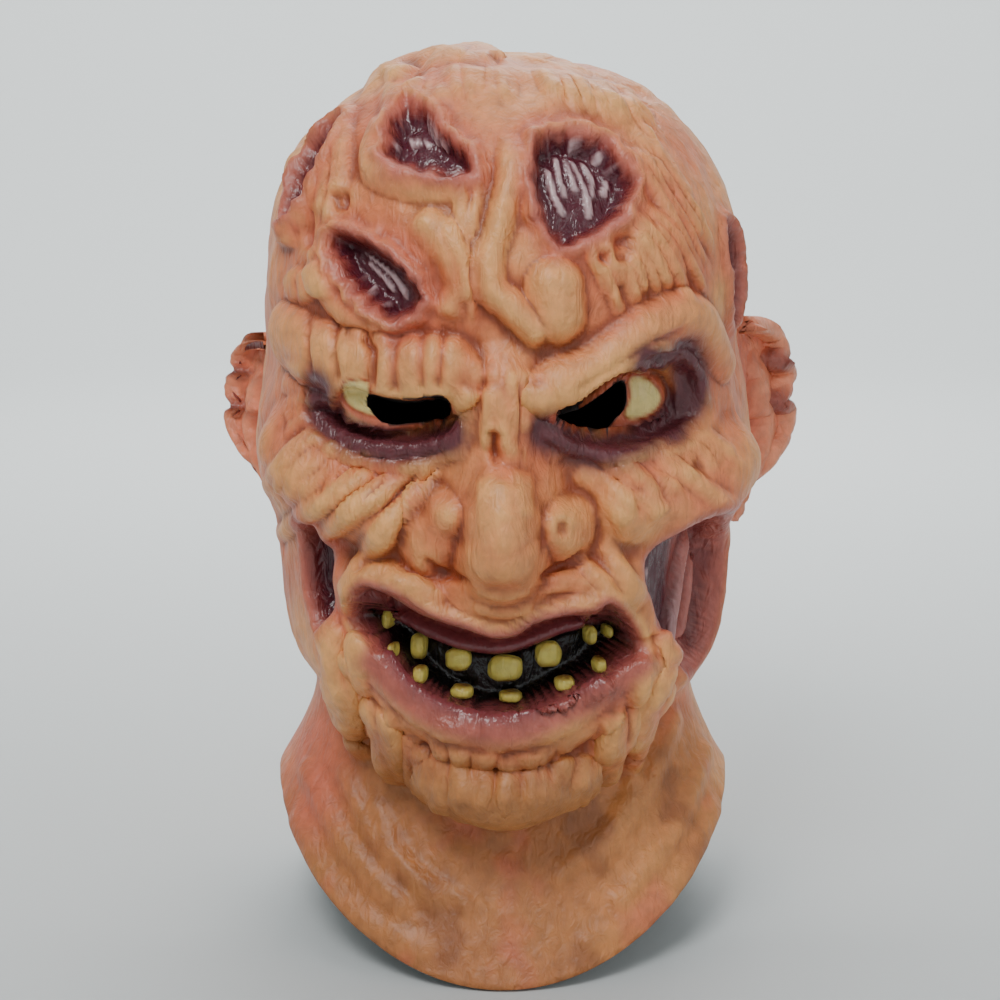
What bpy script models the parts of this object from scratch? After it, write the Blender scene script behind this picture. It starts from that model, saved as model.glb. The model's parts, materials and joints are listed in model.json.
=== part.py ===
"""Burnt face mask: a full-head latex mask with two eye holes, and thirteen teeth seated in its mouth.

The origin is the highest point inside the crown, where the mask hangs on a head. +Z is up and the
face looks along -Y. The skin is one hollow casting: head, ears, neck and bib.
"""

import math
from collections import namedtuple

import bmesh
import bpy
import numpy as np

# Sizes of the head, in metres
HEAD_WIDTH = 0.180
HEAD_HEIGHT = 0.270
BROW_DEPTH = 0.100
SKULL_DEPTH = 0.108
DOME_HEIGHT = 0.091

# Sizes of the neck, and of the bib that lies on the chest and shoulders
NECK_WIDTH = 0.150
NECK_FRONT = 0.052
NECK_BACK = 0.076
NECK_END = 0.246
BIB_WIDTH = 0.182
BIB_FRONT = 0.094
BIB_BACK = 0.096
SHOULDER_DROP = 0.281
CHEST_DROP = 0.338
NAPE_DROP = 0.326

# Thickness of the latex, and the heights and widths that the relief follows
WALL = 0.003
NOSE_HEIGHT = 0.028
BROW_HEIGHT = 0.010
JAW_HEIGHT = 0.010
FOLD_HEIGHT = 0.006
FOLD_WIDTH = 0.010
SOCKET_DEPTH = 0.012
EYE_CUT = 0.022
WOUND_DEPTH = 0.008
MOUTH_DEPTH = 0.016
CHEEK_HOLE_DEPTH = 0.013

# Sizes of the ears and teeth
EAR_HEIGHT = 0.078
EAR_REACH = 0.042
EAR_DROP = 0.142
EAR_WALL = 0.005
TOOTH_WIDTH = 0.0100
TOOTH_HEIGHT = 0.0090
TOOTH_THICKNESS = 0.0080
SEAT_GAP = 0.0003

# The chart is a square front view, seen from a little above. Places on the face are read off it in
# hundredths of its side, right and down from its top left corner, and they follow the head's sizes.
CHART_TILT = math.radians(12)
CHART_DISTANCE = 187.5
CHART_MIDDLE = 50.3
CHART_LEVEL = 50.0
LEVEL_DROP_SHARE = 0.64
WIDTH_ON_CHART = 45.0
HEIGHT_ON_CHART = 67.5
DEPTH_ON_CHART = 52.0

# Cross-sections of the head below its dome: how far down, and shares of the head's sizes there
Section = namedtuple("Section", "down width front back")
HEAD_SECTIONS = (
    Section(down=0.00, width=1.01, front=1.00, back=1.00),
    Section(down=0.10, width=1.00, front=0.99, back=1.00),
    Section(down=0.20, width=1.04, front=0.97, back=0.98),
    Section(down=0.36, width=1.06, front=0.95, back=0.92),
    Section(down=0.47, width=0.98, front=0.94, back=0.84),
    Section(down=0.66, width=0.94, front=0.93, back=0.68),
    Section(down=0.78, width=0.88, front=0.92, back=0.50),
    Section(down=0.86, width=0.74, front=0.91, back=0.35),
    Section(down=0.93, width=0.58, front=0.92, back=0.25),
    Section(down=1.00, width=0.46, front=0.91, back=0.15),
    Section(down=1.04, width=0.35, front=0.82, back=0.10),
    Section(down=1.07, width=0.20, front=0.56, back=0.06),
    Section(down=1.10, width=0.05, front=0.20, back=0.02),
)
DOME_SQUARENESS = 2.25
HEAD_SQUARENESS = 2.15
NECK_SQUARENESS = 2.0
JAW_BLEND = 0.006

# A fold runs along a course of chart places. Its half-widths and heights are shares, at its two ends
Fold = namedtuple("Fold", "course widths heights edge")
SOFT = 2.0
ROUND = 0.8

NOSE = (
    Fold(((50.2, 38.0), (50.2, 45.0), (50.2, 51.0)), (1.5, 2.4), (0.28, 0.55), SOFT),
    Fold(((50.2, 51.0), (50.2, 56.0)), (2.4, 2.1), (0.40, 0.65), SOFT),
    Fold(((49.8, 55.5), (50.6, 56.5)), (1.2, 1.2), (0.20, 0.20), ROUND),
    Fold(((43.6, 51.6), (42.8, 54.6)), (0.9, 0.9), (0.32, 0.32), ROUND),
    Fold(((56.5, 52.3), (56.8, 54.0)), (0.9, 0.9), (0.32, 0.32), ROUND),
)
BROWS = (
    Fold(((29.0, 33.0), (34.0, 35.0), (39.0, 35.8), (44.2, 35.9)), (1.3, 1.4), (0.7, 0.9), ROUND),
    Fold(((55.8, 38.2), (60.0, 36.2), (64.5, 32.6), (69.0, 31.6), (72.0, 36.0)), (1.1, 0.9),
         (1.0, 0.7), ROUND),
)
CHEEKS_AND_JAW = (
    Fold(((28.5, 45.0), (33.0, 49.5), (38.5, 52.0)), (2.0, 1.7), (0.9, 1.0), SOFT),
    Fold(((73.0, 46.5), (69.5, 49.5), (62.5, 51.5)), (2.2, 1.7), (1.0, 0.9), SOFT),
    Fold(((36.0, 58.5), (40.0, 58.0), (45.0, 59.5), (50.0, 61.0), (56.0, 59.0), (61.0, 58.0)), (1.5, 1.5),
         (0.8, 0.8), SOFT),
    Fold(((36.5, 65.5), (40.5, 70.5), (46.0, 73.5), (51.0, 74.0), (56.5, 73.0), (60.5, 70.0), (64.0, 66.0)),
         (0.9, 0.9), (0.6, 0.6), ROUND),
    Fold(((44.5, 79.5), (51.0, 81.0), (57.5, 79.0)), (1.4, 1.4), (0.5, 0.5), ROUND),
    Fold(((34.5, 63.0), (34.6, 69.0), (36.5, 74.0)), (0.8, 0.9), (0.5, 0.9), ROUND),
    Fold(((65.5, 65.0), (64.5, 70.0), (62.5, 75.0)), (0.8, 0.9), (0.5, 0.9), ROUND),
    Fold(((38.5, 71.0), (40.0, 77.0)), (0.7, 0.7), (0.6, 0.8), ROUND),
    Fold(((61.5, 71.5), (60.0, 77.0)), (0.7, 0.7), (0.6, 0.8), ROUND),
)
FOLDS = (
    Fold(((51.2, 13.5), (51.0, 18.2), (50.1, 21.7), (48.8, 25.8), (49.0, 29.0), (51.0, 30.8),
          (53.2, 32.7), (54.4, 34.2)), (0.7, 0.9), (0.7, 1.2), ROUND),
    Fold(((55.2, 28.8), (55.5, 31.4)), (1.2, 1.2), (1.3, 1.3), ROUND),
    Fold(((39.0, 8.8), (43.5, 7.6), (49.5, 7.2)), (1.2, 1.2), (0.7, 0.7), ROUND),
    Fold(((29.5, 20.5), (29.0, 25.0)), (1.2, 1.2), (0.9, 0.9), ROUND),
    Fold(((42.0, 21.5), (44.8, 25.0), (46.3, 29.5)), (0.6, 0.6), (0.6, 0.6), ROUND),
    Fold(((40.0, 46.0), (36.5, 49.5), (31.5, 52.5)), (0.6, 0.6), (0.6, 0.6), ROUND),
    Fold(((44.0, 47.0), (40.0, 51.5), (36.5, 55.5), (35.0, 60.0)), (0.6, 0.8), (0.5, 0.9), ROUND),
    Fold(((57.0, 45.0), (62.0, 45.8), (67.5, 44.2)), (0.5, 0.5), (0.6, 0.6), ROUND),
)

# A pit is pressed in over an outline of chart places, with a rim raised round it. The turn is how
# far round the head its chart looks from, in degrees
Pit = namedtuple("Pit", "outline depth edge rim turn")
SOCKETS = (
    Pit(((31.0, 40.5), (35.0, 40.0), (40.0, 40.5), (45.5, 40.5), (46.3, 42.0), (42.0, 44.5),
         (36.0, 44.2), (32.5, 43.0)), 1.0, 2.0, 0.0, 0),
    Pit(((55.0, 42.0), (59.0, 41.2), (62.5, 38.5), (66.0, 36.5), (69.5, 37.0), (70.5, 40.5),
         (69.0, 43.5), (63.0, 45.0), (57.0, 43.8)), 1.0, 2.0, 0.0, 0),
)
WOUNDS = (
    Pit(((38.9, 13.4), (39.5, 11.7), (41.2, 10.8), (42.8, 11.5), (44.1, 13.4), (46.0, 15.2),
         (47.2, 16.9), (45.6, 17.6), (41.7, 16.9), (39.1, 16.2)), 0.9, 0.8, 0.4, 0),
    Pit(((33.4, 23.8), (35.2, 23.8), (38.4, 25.6), (40.6, 27.5), (41.9, 29.9), (40.8, 31.4),
         (39.1, 31.8), (36.9, 30.1), (35.0, 28.2), (33.6, 25.8)), 1.0, 0.8, 0.6, 0),
    Pit(((53.6, 14.5), (54.7, 13.8), (57.5, 13.6), (60.1, 14.5), (61.6, 15.8), (62.9, 17.8),
         (62.7, 19.9), (61.2, 22.1), (58.4, 23.8), (56.4, 24.5), (55.1, 23.4), (54.0, 21.2),
         (53.5, 18.2)), 1.0, 0.8, 0.4, 0),
    Pit(((41.6, 12.6), (43.8, 13.4), (45.0, 17.0), (46.4, 21.6), (45.4, 23.2), (43.0, 21.0),
         (41.0, 16.6)), 0.7, 0.8, 0.4, -60),
    Pit(((48.2, 24.4), (50.4, 23.6), (53.0, 26.6), (53.2, 31.0), (51.6, 34.4), (49.4, 33.0),
         (48.0, 28.6)), 0.7, 0.8, 0.4, 70),
)
MOUTH = (
    Pit(((36.1, 58.9), (39.1, 59.8), (42.2, 61.7), (46.2, 63.0), (49.3, 64.0), (51.7, 63.7),
         (53.4, 62.6), (56.4, 61.8), (59.5, 61.6), (61.0, 60.6), (62.8, 62.6), (63.4, 64.8),
         (61.2, 66.4), (60.0, 67.6), (57.3, 69.0), (54.4, 70.3), (51.7, 71.4), (48.3, 71.5),
         (44.2, 70.3), (41.1, 68.2), (38.7, 65.4), (36.6, 63.0), (35.6, 61.0)), 1.0, 0.9, 0.4, 0),
)
CHEEK_HOLES = (
    Pit(((48.8, 56.0), (51.0, 55.5), (52.0, 58.5), (51.6, 61.5), (50.2, 62.8), (48.6, 61.0),
         (48.2, 58.0)), 0.8, 1.0, 0.3, -50),
    Pit(((42.6, 56.6), (45.4, 54.4), (50.0, 53.9), (55.5, 54.8), (59.6, 57.6), (60.0, 61.5),
         (59.0, 65.5), (57.0, 69.0), (54.0, 70.6), (50.4, 69.4), (47.2, 66.8), (44.8, 63.2),
         (43.0, 59.8)), 1.0, 1.2, 0.3, 50),
)
EYE_HOLES = (
    ((36.8, 39.4), (39.0, 39.6), (41.0, 39.8), (43.1, 39.6), (44.6, 39.9), (44.9, 41.2),
     (44.5, 41.8), (42.5, 42.1), (39.9, 42.5), (38.1, 42.2), (37.0, 41.0)),
    ((55.6, 41.7), (57.8, 41.0), (60.1, 39.5), (62.1, 38.1), (62.6, 39.5), (62.3, 41.0),
     (61.2, 42.2), (60.3, 42.9), (57.8, 42.5)),
)

# The cavity follows the face less closely than the outside does, so that every fold has latex under it
CAVITY_MARGIN = 1.2
CAVITY_FOLLOWS = 0.55

# The reach of an ear as shares of its full reach, from its lobe up to its tip. Its sheet leaves the
# head nearly straight back and bends outwards. The ear on the left of the chart is smaller
EAR_OUTLINE = (
    (0.0, 0.42), (0.12, 0.46), (0.30, 0.62), (0.45, 0.80), (0.52, 0.80), (0.68, 0.96), (0.74, 0.92),
    (0.86, 0.95), (0.95, 0.82), (1.0, 0.50),
)
EAR_ROOT_ANGLE = math.radians(76)
EAR_RIM_ANGLE = math.radians(54)
LEFT_EAR_SHARE = 0.84

# Each tooth's place on the chart, and its shares of the tooth's sizes
Tooth = namedtuple("Tooth", "name column row width height")
TEETH = (
    Tooth("tooth_upper_1", 39.3, 62.0, 0.52, 0.98),
    Tooth("tooth_upper_2", 42.2, 64.5, 0.78, 1.08),
    Tooth("tooth_upper_3", 46.0, 65.8, 1.05, 0.92),
    Tooth("tooth_upper_4", 50.5, 66.6, 1.32, 1.08),
    Tooth("tooth_upper_5", 54.6, 65.2, 1.08, 1.04),
    Tooth("tooth_upper_6", 58.6, 63.3, 0.60, 0.80),
    Tooth("tooth_upper_7", 60.4, 62.9, 0.50, 0.55),
    Tooth("tooth_lower_1", 39.6, 64.9, 0.42, 0.70),
    Tooth("tooth_lower_2", 42.3, 67.4, 0.66, 0.84),
    Tooth("tooth_lower_3", 46.2, 69.3, 0.94, 0.72),
    Tooth("tooth_lower_4", 51.0, 69.9, 0.90, 0.66),
    Tooth("tooth_lower_5", 56.2, 68.2, 0.86, 0.70),
    Tooth("tooth_lower_6", 59.4, 66.3, 0.64, 0.72),
)

# How finely the casting is shaped, and how many faces it keeps
SHAPING_COLUMNS = 210
SHAPING_ROWS = 190
CAVITY_COLUMNS = 100
CAVITY_ROWS = 90
FUSING_STEP = 0.0018
SKIN_FACES = 8200
CAVITY_FACES = 2200


def smooth_between(places, known, values):
    """A smooth curve through the known places, read at the given places."""
    slopes = np.gradient(values, known)
    span = np.clip(np.searchsorted(known, places) - 1, 0, len(known) - 2)
    gap = known[span + 1] - known[span]
    t = np.clip((places - known[span]) / gap, 0, 1)
    start = values[span] * (1 + 2 * t) * (1 - t) ** 2 + slopes[span] * gap * t * (1 - t) ** 2
    end = values[span + 1] * t * t * (3 - 2 * t) + slopes[span + 1] * gap * t * t * (t - 1)
    return start + end


def eased(share):
    """A share from 0 to 1 that starts and ends gently."""
    share = np.clip(share, 0, 1)
    return share * share * (3 - 2 * share)


def oval(turn, half_width, front, back, squareness):
    """Distance from the axis to an oval, at a turn from the front."""
    depth = np.where(np.cos(turn) > 0, front, back)
    across = np.abs(np.sin(turn)) / half_width
    along = np.abs(np.cos(turn)) / depth
    return (across**squareness + along**squareness) ** (-1 / squareness)


def hem_drop(turn):
    """How far below the crown the hem lies: low on the chest and nape, high on the shoulders."""
    lowest = np.where(np.cos(turn) > 0, CHEST_DROP, NAPE_DROP)
    return SHOULDER_DROP + (lowest - SHOULDER_DROP) * np.abs(np.cos(turn)) ** 1.5


def head_reach(turn, drop):
    """Distance from the axis to the plain head, below its crown by drop."""
    known = np.array([section.down for section in HEAD_SECTIONS])
    down = (drop - DOME_HEIGHT) / (HEAD_HEIGHT - DOME_HEIGHT)
    level = np.clip(1 - drop / DOME_HEIGHT, 0, 1)
    dome = np.maximum(1 - level**DOME_SQUARENESS, 1e-9) ** (1 / DOME_SQUARENESS)
    sizes = []
    for name, size in (("width", HEAD_WIDTH / 2), ("front", BROW_DEPTH), ("back", SKULL_DEPTH)):
        shares = np.array([getattr(section, name) for section in HEAD_SECTIONS])
        share = smooth_between(np.clip(down, 0, known[-1]), known, shares)
        sizes.append(size * dome * share)
    return oval(turn, sizes[0], sizes[1], sizes[2], HEAD_SQUARENESS)


def neck_reach(turn, drop, extra):
    """Distance from the axis to the neck, which flares into the bib at its hem."""
    flare = np.clip((drop - NECK_END) / (hem_drop(turn) - NECK_END), 0, 1 + extra) ** 1.3
    width = (NECK_WIDTH + (BIB_WIDTH - NECK_WIDTH) * flare) / 2
    front = NECK_FRONT + (BIB_FRONT - NECK_FRONT) * flare
    back = NECK_BACK + (BIB_BACK - NECK_BACK) * flare
    start = eased((drop - DOME_HEIGHT) / DOME_HEIGHT)
    return start * oval(turn, width, front, back, NECK_SQUARENESS)


def spread(count, density):
    """Shares from 0 to 1, closest together where the density is highest."""
    fine = np.linspace(0, 1, 2001)
    total = np.concatenate([[0], np.cumsum(density((fine[1:] + fine[:-1]) / 2))])
    return np.interp(np.linspace(0, 1, count + 1), total / total[-1], fine)


def on_chart(points, turn=0.0):
    """Column, row and distance of points on the chart, or on a chart of the head turned round."""
    depth_size = BROW_DEPTH + SKULL_DEPTH
    right = points[..., 0] / HEAD_WIDTH * WIDTH_ON_CHART
    back = points[..., 1] / depth_size * DEPTH_ON_CHART
    up = (LEVEL_DROP_SHARE - (WALL - points[..., 2]) / HEAD_HEIGHT) * HEIGHT_ON_CHART
    across = right * math.cos(turn) + back * math.sin(turn)
    away = back * math.cos(turn) - right * math.sin(turn)
    far = CHART_DISTANCE + away * math.cos(CHART_TILT) - up * math.sin(CHART_TILT)
    lift = up * math.cos(CHART_TILT) + away * math.sin(CHART_TILT)
    zoom = CHART_DISTANCE / far
    return CHART_MIDDLE + across * zoom, CHART_LEVEL - lift * zoom, far


def curve_through(places, closed=False, steps=6):
    """Points on a smooth curve through the places, evenly many between each two."""
    places = np.array(places, float)
    if closed:
        ends = np.vstack([places[-1:], places, places[:2]])
    else:
        ends = np.vstack([2 * places[:1] - places[1:2], places, 2 * places[-1:] - places[-2:-1]])
    curve = []
    for before, start, end, after in zip(ends[:-3], ends[1:-2], ends[2:-1], ends[3:]):
        for t in np.arange(steps) / steps:
            bend = 2 * before - 5 * start + 4 * end - after
            twist = 3 * start - before - 3 * end + after
            curve.append(start + 0.5 * t * (end - before + t * (bend + t * twist)))
    if not closed:
        curve.append(places[-1])
    return np.array(curve)


def distance_to_course(points, course):
    """Each point's distance to a course of points, and how far along the course it lies."""
    nearest = np.full(len(points), np.inf)
    along = np.zeros(len(points))
    for number, (start, end) in enumerate(zip(course[:-1], course[1:])):
        leg = end - start
        t = np.clip((points - start) @ leg / max(leg @ leg, 1e-12), 0, 1)
        distance = np.linalg.norm(points - start - t[:, None] * leg, axis=1)
        closer = distance < nearest
        nearest[closer] = distance[closer]
        along[closer] = (number + t[closer]) / (len(course) - 1)
    return nearest, along


def inside(places, outline):
    """Whether each chart place lies inside a closed outline."""
    crossings = np.zeros(len(places), int)
    for start, end in zip(outline, np.roll(outline, -1, axis=0)):
        spans = (start[1] > places[:, 1]) != (end[1] > places[:, 1])
        rise = end[1] - start[1]
        level = start[0] + (places[:, 1] - start[1]) / (rise if rise else 1) * (end[0] - start[0])
        crossings += spans & (places[:, 0] < level)
    return crossings % 2 == 1


class Casting:
    """A grid of points over the whole mask, from the crown to the hem, which relief is pressed into."""

    def __init__(self, columns, rows, below=0.0):
        turns = (2 * spread(columns, lambda t: 1 + 2 * (np.abs(t - 0.5) < 0.24)) - 1) * math.pi
        shares = spread(rows, lambda t: 1 + 0.5 * ((t > 0.3) & (t < 0.75)))
        self.turns = turns[None, :]
        head = DOME_HEIGHT * math.pi / 2
        face = NECK_END - DOME_HEIGHT
        neck = CHEST_DROP - NECK_END
        run = (shares * (head + face + neck))[:, None]
        dome_drop = DOME_HEIGHT * (1 - np.cos(np.clip(run / head, 0, 1) * math.pi / 2))
        face_drop = np.clip(run - head, 0, face)
        neck_share = np.clip((run - head - face) / neck, 0, 1)
        drop = dome_drop + face_drop + neck_share * (hem_drop(self.turns) + below - NECK_END)
        extra = below / (SHOULDER_DROP - NECK_END)
        head_size = head_reach(self.turns, drop)
        neck_size = neck_reach(self.turns, drop, extra)
        gap = head_size - neck_size
        blend = JAW_BLEND * eased((drop - DOME_HEIGHT) / DOME_HEIGHT)
        reach = (head_size + neck_size + np.sqrt(gap * gap + blend * blend)) / 2
        reach[0] = 0
        x = reach * np.sin(self.turns)
        y = -reach * np.cos(self.turns)
        self.points = np.stack([x, y, WALL - drop], axis=-1)
        self.plain_normals = self.normals()

    def normals(self):
        """The outward direction at each point."""
        around = np.gradient(self.points, axis=1)
        around[:, 0] = self.points[:, 1] - self.points[:, -2]
        around[:, -1] = around[:, 0]
        down = np.gradient(self.points, axis=0)
        outward = np.cross(down, around)
        outward[0] = (0, 0, 1)
        return outward / np.maximum(np.linalg.norm(outward, axis=-1, keepdims=True), 1e-12)

    def under(self, places, turn=0.0):
        """The points of the casting that lie under chart places, seen from the front."""
        columns, rows, far = on_chart(self.points, turn)
        view = self.plain_normals[..., 0] * math.sin(turn) - self.plain_normals[..., 1] * math.cos(turn)
        seen = view * math.cos(CHART_TILT) + self.plain_normals[..., 2] * math.sin(CHART_TILT) > 0.02
        flat = self.points[seen]
        found = []
        for column, row in np.atleast_2d(places):
            apart = np.hypot(columns[seen] - column, rows[seen] - row)
            near = np.argsort(apart)[:4]
            weight = 1 / (apart[near] + 1e-3)
            found.append((flat[near] * weight[:, None]).sum(axis=0) / weight.sum())
        return np.array(found)

    def raise_folds(self, folds, height, width, forward=False):
        """Raises folds, or presses them in where their height is negative."""
        lift = np.zeros(self.points.shape[:2])
        for fold in folds:
            course = self.under(curve_through(fold.course, steps=4))
            most = max(fold.widths) * width
            low = course.min(axis=0) - most
            high = course.max(axis=0) + most
            near = ((self.points > low) & (self.points < high)).all(axis=-1)
            distance, along = distance_to_course(self.points[near], course)
            reach = width * (fold.widths[0] + (fold.widths[1] - fold.widths[0]) * along)
            rise = height * (fold.heights[0] + (fold.heights[1] - fold.heights[0]) * along)
            added = rise * np.maximum(1 - (distance / reach) ** 2, 0) ** fold.edge
            if fold.edge == SOFT:
                lift[near] += added
            else:
                lift[near] = np.where(np.abs(added) > np.abs(lift[near]), added, lift[near])
        way = np.array((0.0, -1.0, 0.0)) if forward else self.normals()
        self.points = self.points + way * lift[..., None]

    def press_pits(self, pits, depth, rim_height=0.0, margin=0.0):
        """Presses pits in over their outlines, widened by the margin, and raises a rim round each."""
        sink = np.zeros(self.points.shape[:2])
        for pit in pits:
            columns, rows, far = on_chart(self.points, math.radians(pit.turn))
            outline = curve_through(pit.outline, closed=True, steps=3)
            low = outline.min(axis=0) - 3 * pit.edge - margin
            high = outline.max(axis=0) + 3 * pit.edge + margin
            near = (columns > low[0]) & (columns < high[0]) & (rows > low[1]) & (rows < high[1])
            near &= far < CHART_DISTANCE
            places = np.stack([columns[near], rows[near]], axis=-1)
            ring = np.vstack([outline, outline[:1]])
            distance, along = distance_to_course(places, ring)
            deep = np.where(inside(places, outline), distance, -distance) + margin
            hollow = depth * pit.depth * eased((deep + 0.25 * pit.edge) / pit.edge)
            rim = rim_height * pit.rim * np.exp(-((deep / pit.edge + 0.9) ** 2) / 0.8)
            sink[near] += hollow - rim
        self.points = self.points - self.plain_normals * sink[..., None]


def shaped_casting():
    """The casting with all its relief: nose, brows, sockets, jaw, wounds, mouth and folds."""
    casting = Casting(SHAPING_COLUMNS, SHAPING_ROWS)
    casting.press_pits(SOCKETS, SOCKET_DEPTH)
    casting.raise_folds(BROWS, BROW_HEIGHT, FOLD_WIDTH)
    casting.raise_folds(CHEEKS_AND_JAW, JAW_HEIGHT, FOLD_WIDTH)
    casting.raise_folds(NOSE, NOSE_HEIGHT, FOLD_WIDTH, forward=True)
    casting.raise_folds(FOLDS, FOLD_HEIGHT, FOLD_WIDTH)
    casting.press_pits(WOUNDS, WOUND_DEPTH, FOLD_HEIGHT)
    casting.press_pits(CHEEK_HOLES, CHEEK_HOLE_DEPTH, FOLD_HEIGHT)
    casting.press_pits(MOUTH, MOUTH_DEPTH, FOLD_HEIGHT)
    return casting


def cavity_casting():
    """The hollow that the head fills: a wall inside the plain head, and clear of every pit."""
    casting = Casting(CAVITY_COLUMNS, CAVITY_ROWS, below=0.02)
    casting.points = casting.points - casting.plain_normals * WALL
    casting.raise_folds(NOSE, NOSE_HEIGHT * CAVITY_FOLLOWS, FOLD_WIDTH * 0.8, forward=True)
    casting.press_pits(SOCKETS, SOCKET_DEPTH, margin=CAVITY_MARGIN)
    casting.press_pits(WOUNDS, WOUND_DEPTH, margin=CAVITY_MARGIN)
    casting.press_pits(CHEEK_HOLES, CHEEK_HOLE_DEPTH, margin=CAVITY_MARGIN)
    casting.press_pits(MOUTH, MOUTH_DEPTH, margin=CAVITY_MARGIN)
    return casting


def finish_mesh(bm, name):
    """A mesh from a bmesh, closed and facing out."""
    bmesh.ops.recalc_face_normals(bm, faces=bm.faces)
    if bm.calc_volume(signed=True) < 0:
        bmesh.ops.reverse_faces(bm, faces=bm.faces)
    mesh = bpy.data.meshes.new(name)
    bm.to_mesh(mesh)
    bm.free()
    return mesh


def place_object(name, mesh, helper=False):
    """An object in the scene. A helper only shapes another piece."""
    obj = bpy.data.objects.new(name, mesh)
    bpy.context.scene.collection.objects.link(obj)
    if helper:
        obj.hide_render = True
        obj.display_type = "WIRE"
    return obj


def closed_form(points, name):
    """A closed mesh over a grid of points, its hem filled across."""
    rows, columns = points.shape[0] - 1, points.shape[1] - 1
    bm = bmesh.new()
    bmesh.ops.create_grid(bm, x_segments=columns, y_segments=rows, size=1)
    for vert in bm.verts:
        column = round((vert.co.x + 1) / 2 * columns)
        row = round((vert.co.y + 1) / 2 * rows)
        vert.co = points[row, column]
    bmesh.ops.remove_doubles(bm, verts=bm.verts, dist=1e-6)
    hem = [edge for edge in bm.edges if edge.is_boundary]
    middle = bm.verts.new(np.array([v.co for e in hem for v in e.verts]).mean(axis=0))
    for edge in hem:
        bm.faces.new((edge.verts[0], edge.verts[1], middle))
    return finish_mesh(bm, name)


def fused(meshes, faces, name):
    """One closed mesh round all the given ones, with about that many faces."""
    bm = bmesh.new()
    for mesh in meshes:
        bm.from_mesh(mesh)
    obj = place_object(name, finish_mesh(bm, name))
    remesh = obj.modifiers.new("fuse", "REMESH")
    remesh.mode = "VOXEL"
    remesh.voxel_size = FUSING_STEP
    triangles = obj.modifiers.new("triangles", "TRIANGULATE")
    triangles.quad_method = "FIXED"
    graph = bpy.context.evaluated_depsgraph_get()
    whole = len(obj.evaluated_get(graph).data.polygons)
    decimate = obj.modifiers.new("thin", "DECIMATE")
    decimate.ratio = faces / whole
    graph = bpy.context.evaluated_depsgraph_get()
    result = bpy.data.meshes.new_from_object(obj.evaluated_get(graph))
    bpy.data.objects.remove(obj)
    return result


def grown(mesh, distance, name):
    """A copy of a closed mesh with its surface moved outwards by a distance."""
    bm = bmesh.new()
    bm.from_mesh(mesh)
    bm.normal_update()
    moved = [vert.co + vert.normal * distance * min(vert.calc_shell_factor(), 2.0) for vert in bm.verts]
    for vert, place in zip(bm.verts, moved):
        vert.co = place
    return finish_mesh(bm, name)


def ear_mesh(side, share):
    """One ear: a cupped sheet of latex with a ragged edge, its root sunk in the side of the head."""
    levels, reaches = np.array(EAR_OUTLINE).T
    bm = bmesh.new()
    bmesh.ops.create_grid(bm, x_segments=6, y_segments=14, size=1)
    for vert in bm.verts:
        out = (vert.co.x + 1) / 2
        up = (vert.co.y + 1) / 2
        reach = EAR_REACH * share * float(smooth_between(np.array(up), levels, reaches))
        drop = EAR_DROP + EAR_HEIGHT * share * (0.5 - up)
        root = float(head_reach(np.array(math.pi / 2), np.array(drop))) - WALL / 2
        away = EAR_ROOT_ANGLE + (EAR_RIM_ANGLE - EAR_ROOT_ANGLE) * out
        vert.co = (side * (root + reach * out * math.cos(away)), reach * out * math.sin(away), WALL - drop)
    faces = bm.faces[:]
    bmesh.ops.recalc_face_normals(bm, faces=faces)
    bmesh.ops.solidify(bm, geom=faces, thickness=EAR_WALL)
    return finish_mesh(bm, "ear")


def eye_cutter(casting, outline):
    """A prism through the wall, over the outline of an eye hole, along the line of sight."""
    sight = np.array((0.0, math.cos(CHART_TILT), -math.sin(CHART_TILT)))
    bm = bmesh.new()
    loop = casting.under(curve_through(outline, closed=True, steps=2))
    near = [bm.verts.new(place - sight * EYE_CUT) for place in loop]
    far = [bm.verts.new(place + sight * EYE_CUT) for place in loop]
    bm.faces.new(near)
    bm.faces.new(far)
    for start in range(len(loop)):
        bm.faces.new((near[start - 1], near[start], far[start], far[start - 1]))
    return finish_mesh(bm, "eye_cutter")


def add_tooth(bm, casting, tooth):
    """Adds one tooth: a rounded block whose back is sunk in the pocket's wall."""
    place = casting.under((tooth.column, tooth.row))[0]
    turn = math.atan2(place[0], -place[1])
    made = bmesh.ops.create_uvsphere(bm, u_segments=10, v_segments=6, radius=1.0)
    for vert in made["verts"]:
        square = [math.copysign(abs(share) ** 0.7, share) / 2 for share in vert.co]
        across = TOOTH_WIDTH * tooth.width * square[0]
        deep = TOOTH_THICKNESS * (square[1] - 0.35)
        up = TOOTH_HEIGHT * tooth.height * square[2]
        vert.co = (
            place[0] + across * math.cos(turn) - deep * math.sin(turn),
            place[1] + across * math.sin(turn) + deep * math.cos(turn),
            place[2] + up,
        )


def material(name, color, roughness):
    """A plain painted finish."""
    made = bpy.data.materials.new(name)
    made.use_nodes = True
    shader = made.node_tree.nodes["Principled BSDF"]
    shader.inputs["Base Color"].default_value = (*color, 1)
    shader.inputs["Roughness"].default_value = roughness
    shader.inputs["Metallic"].default_value = 0
    return made


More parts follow.
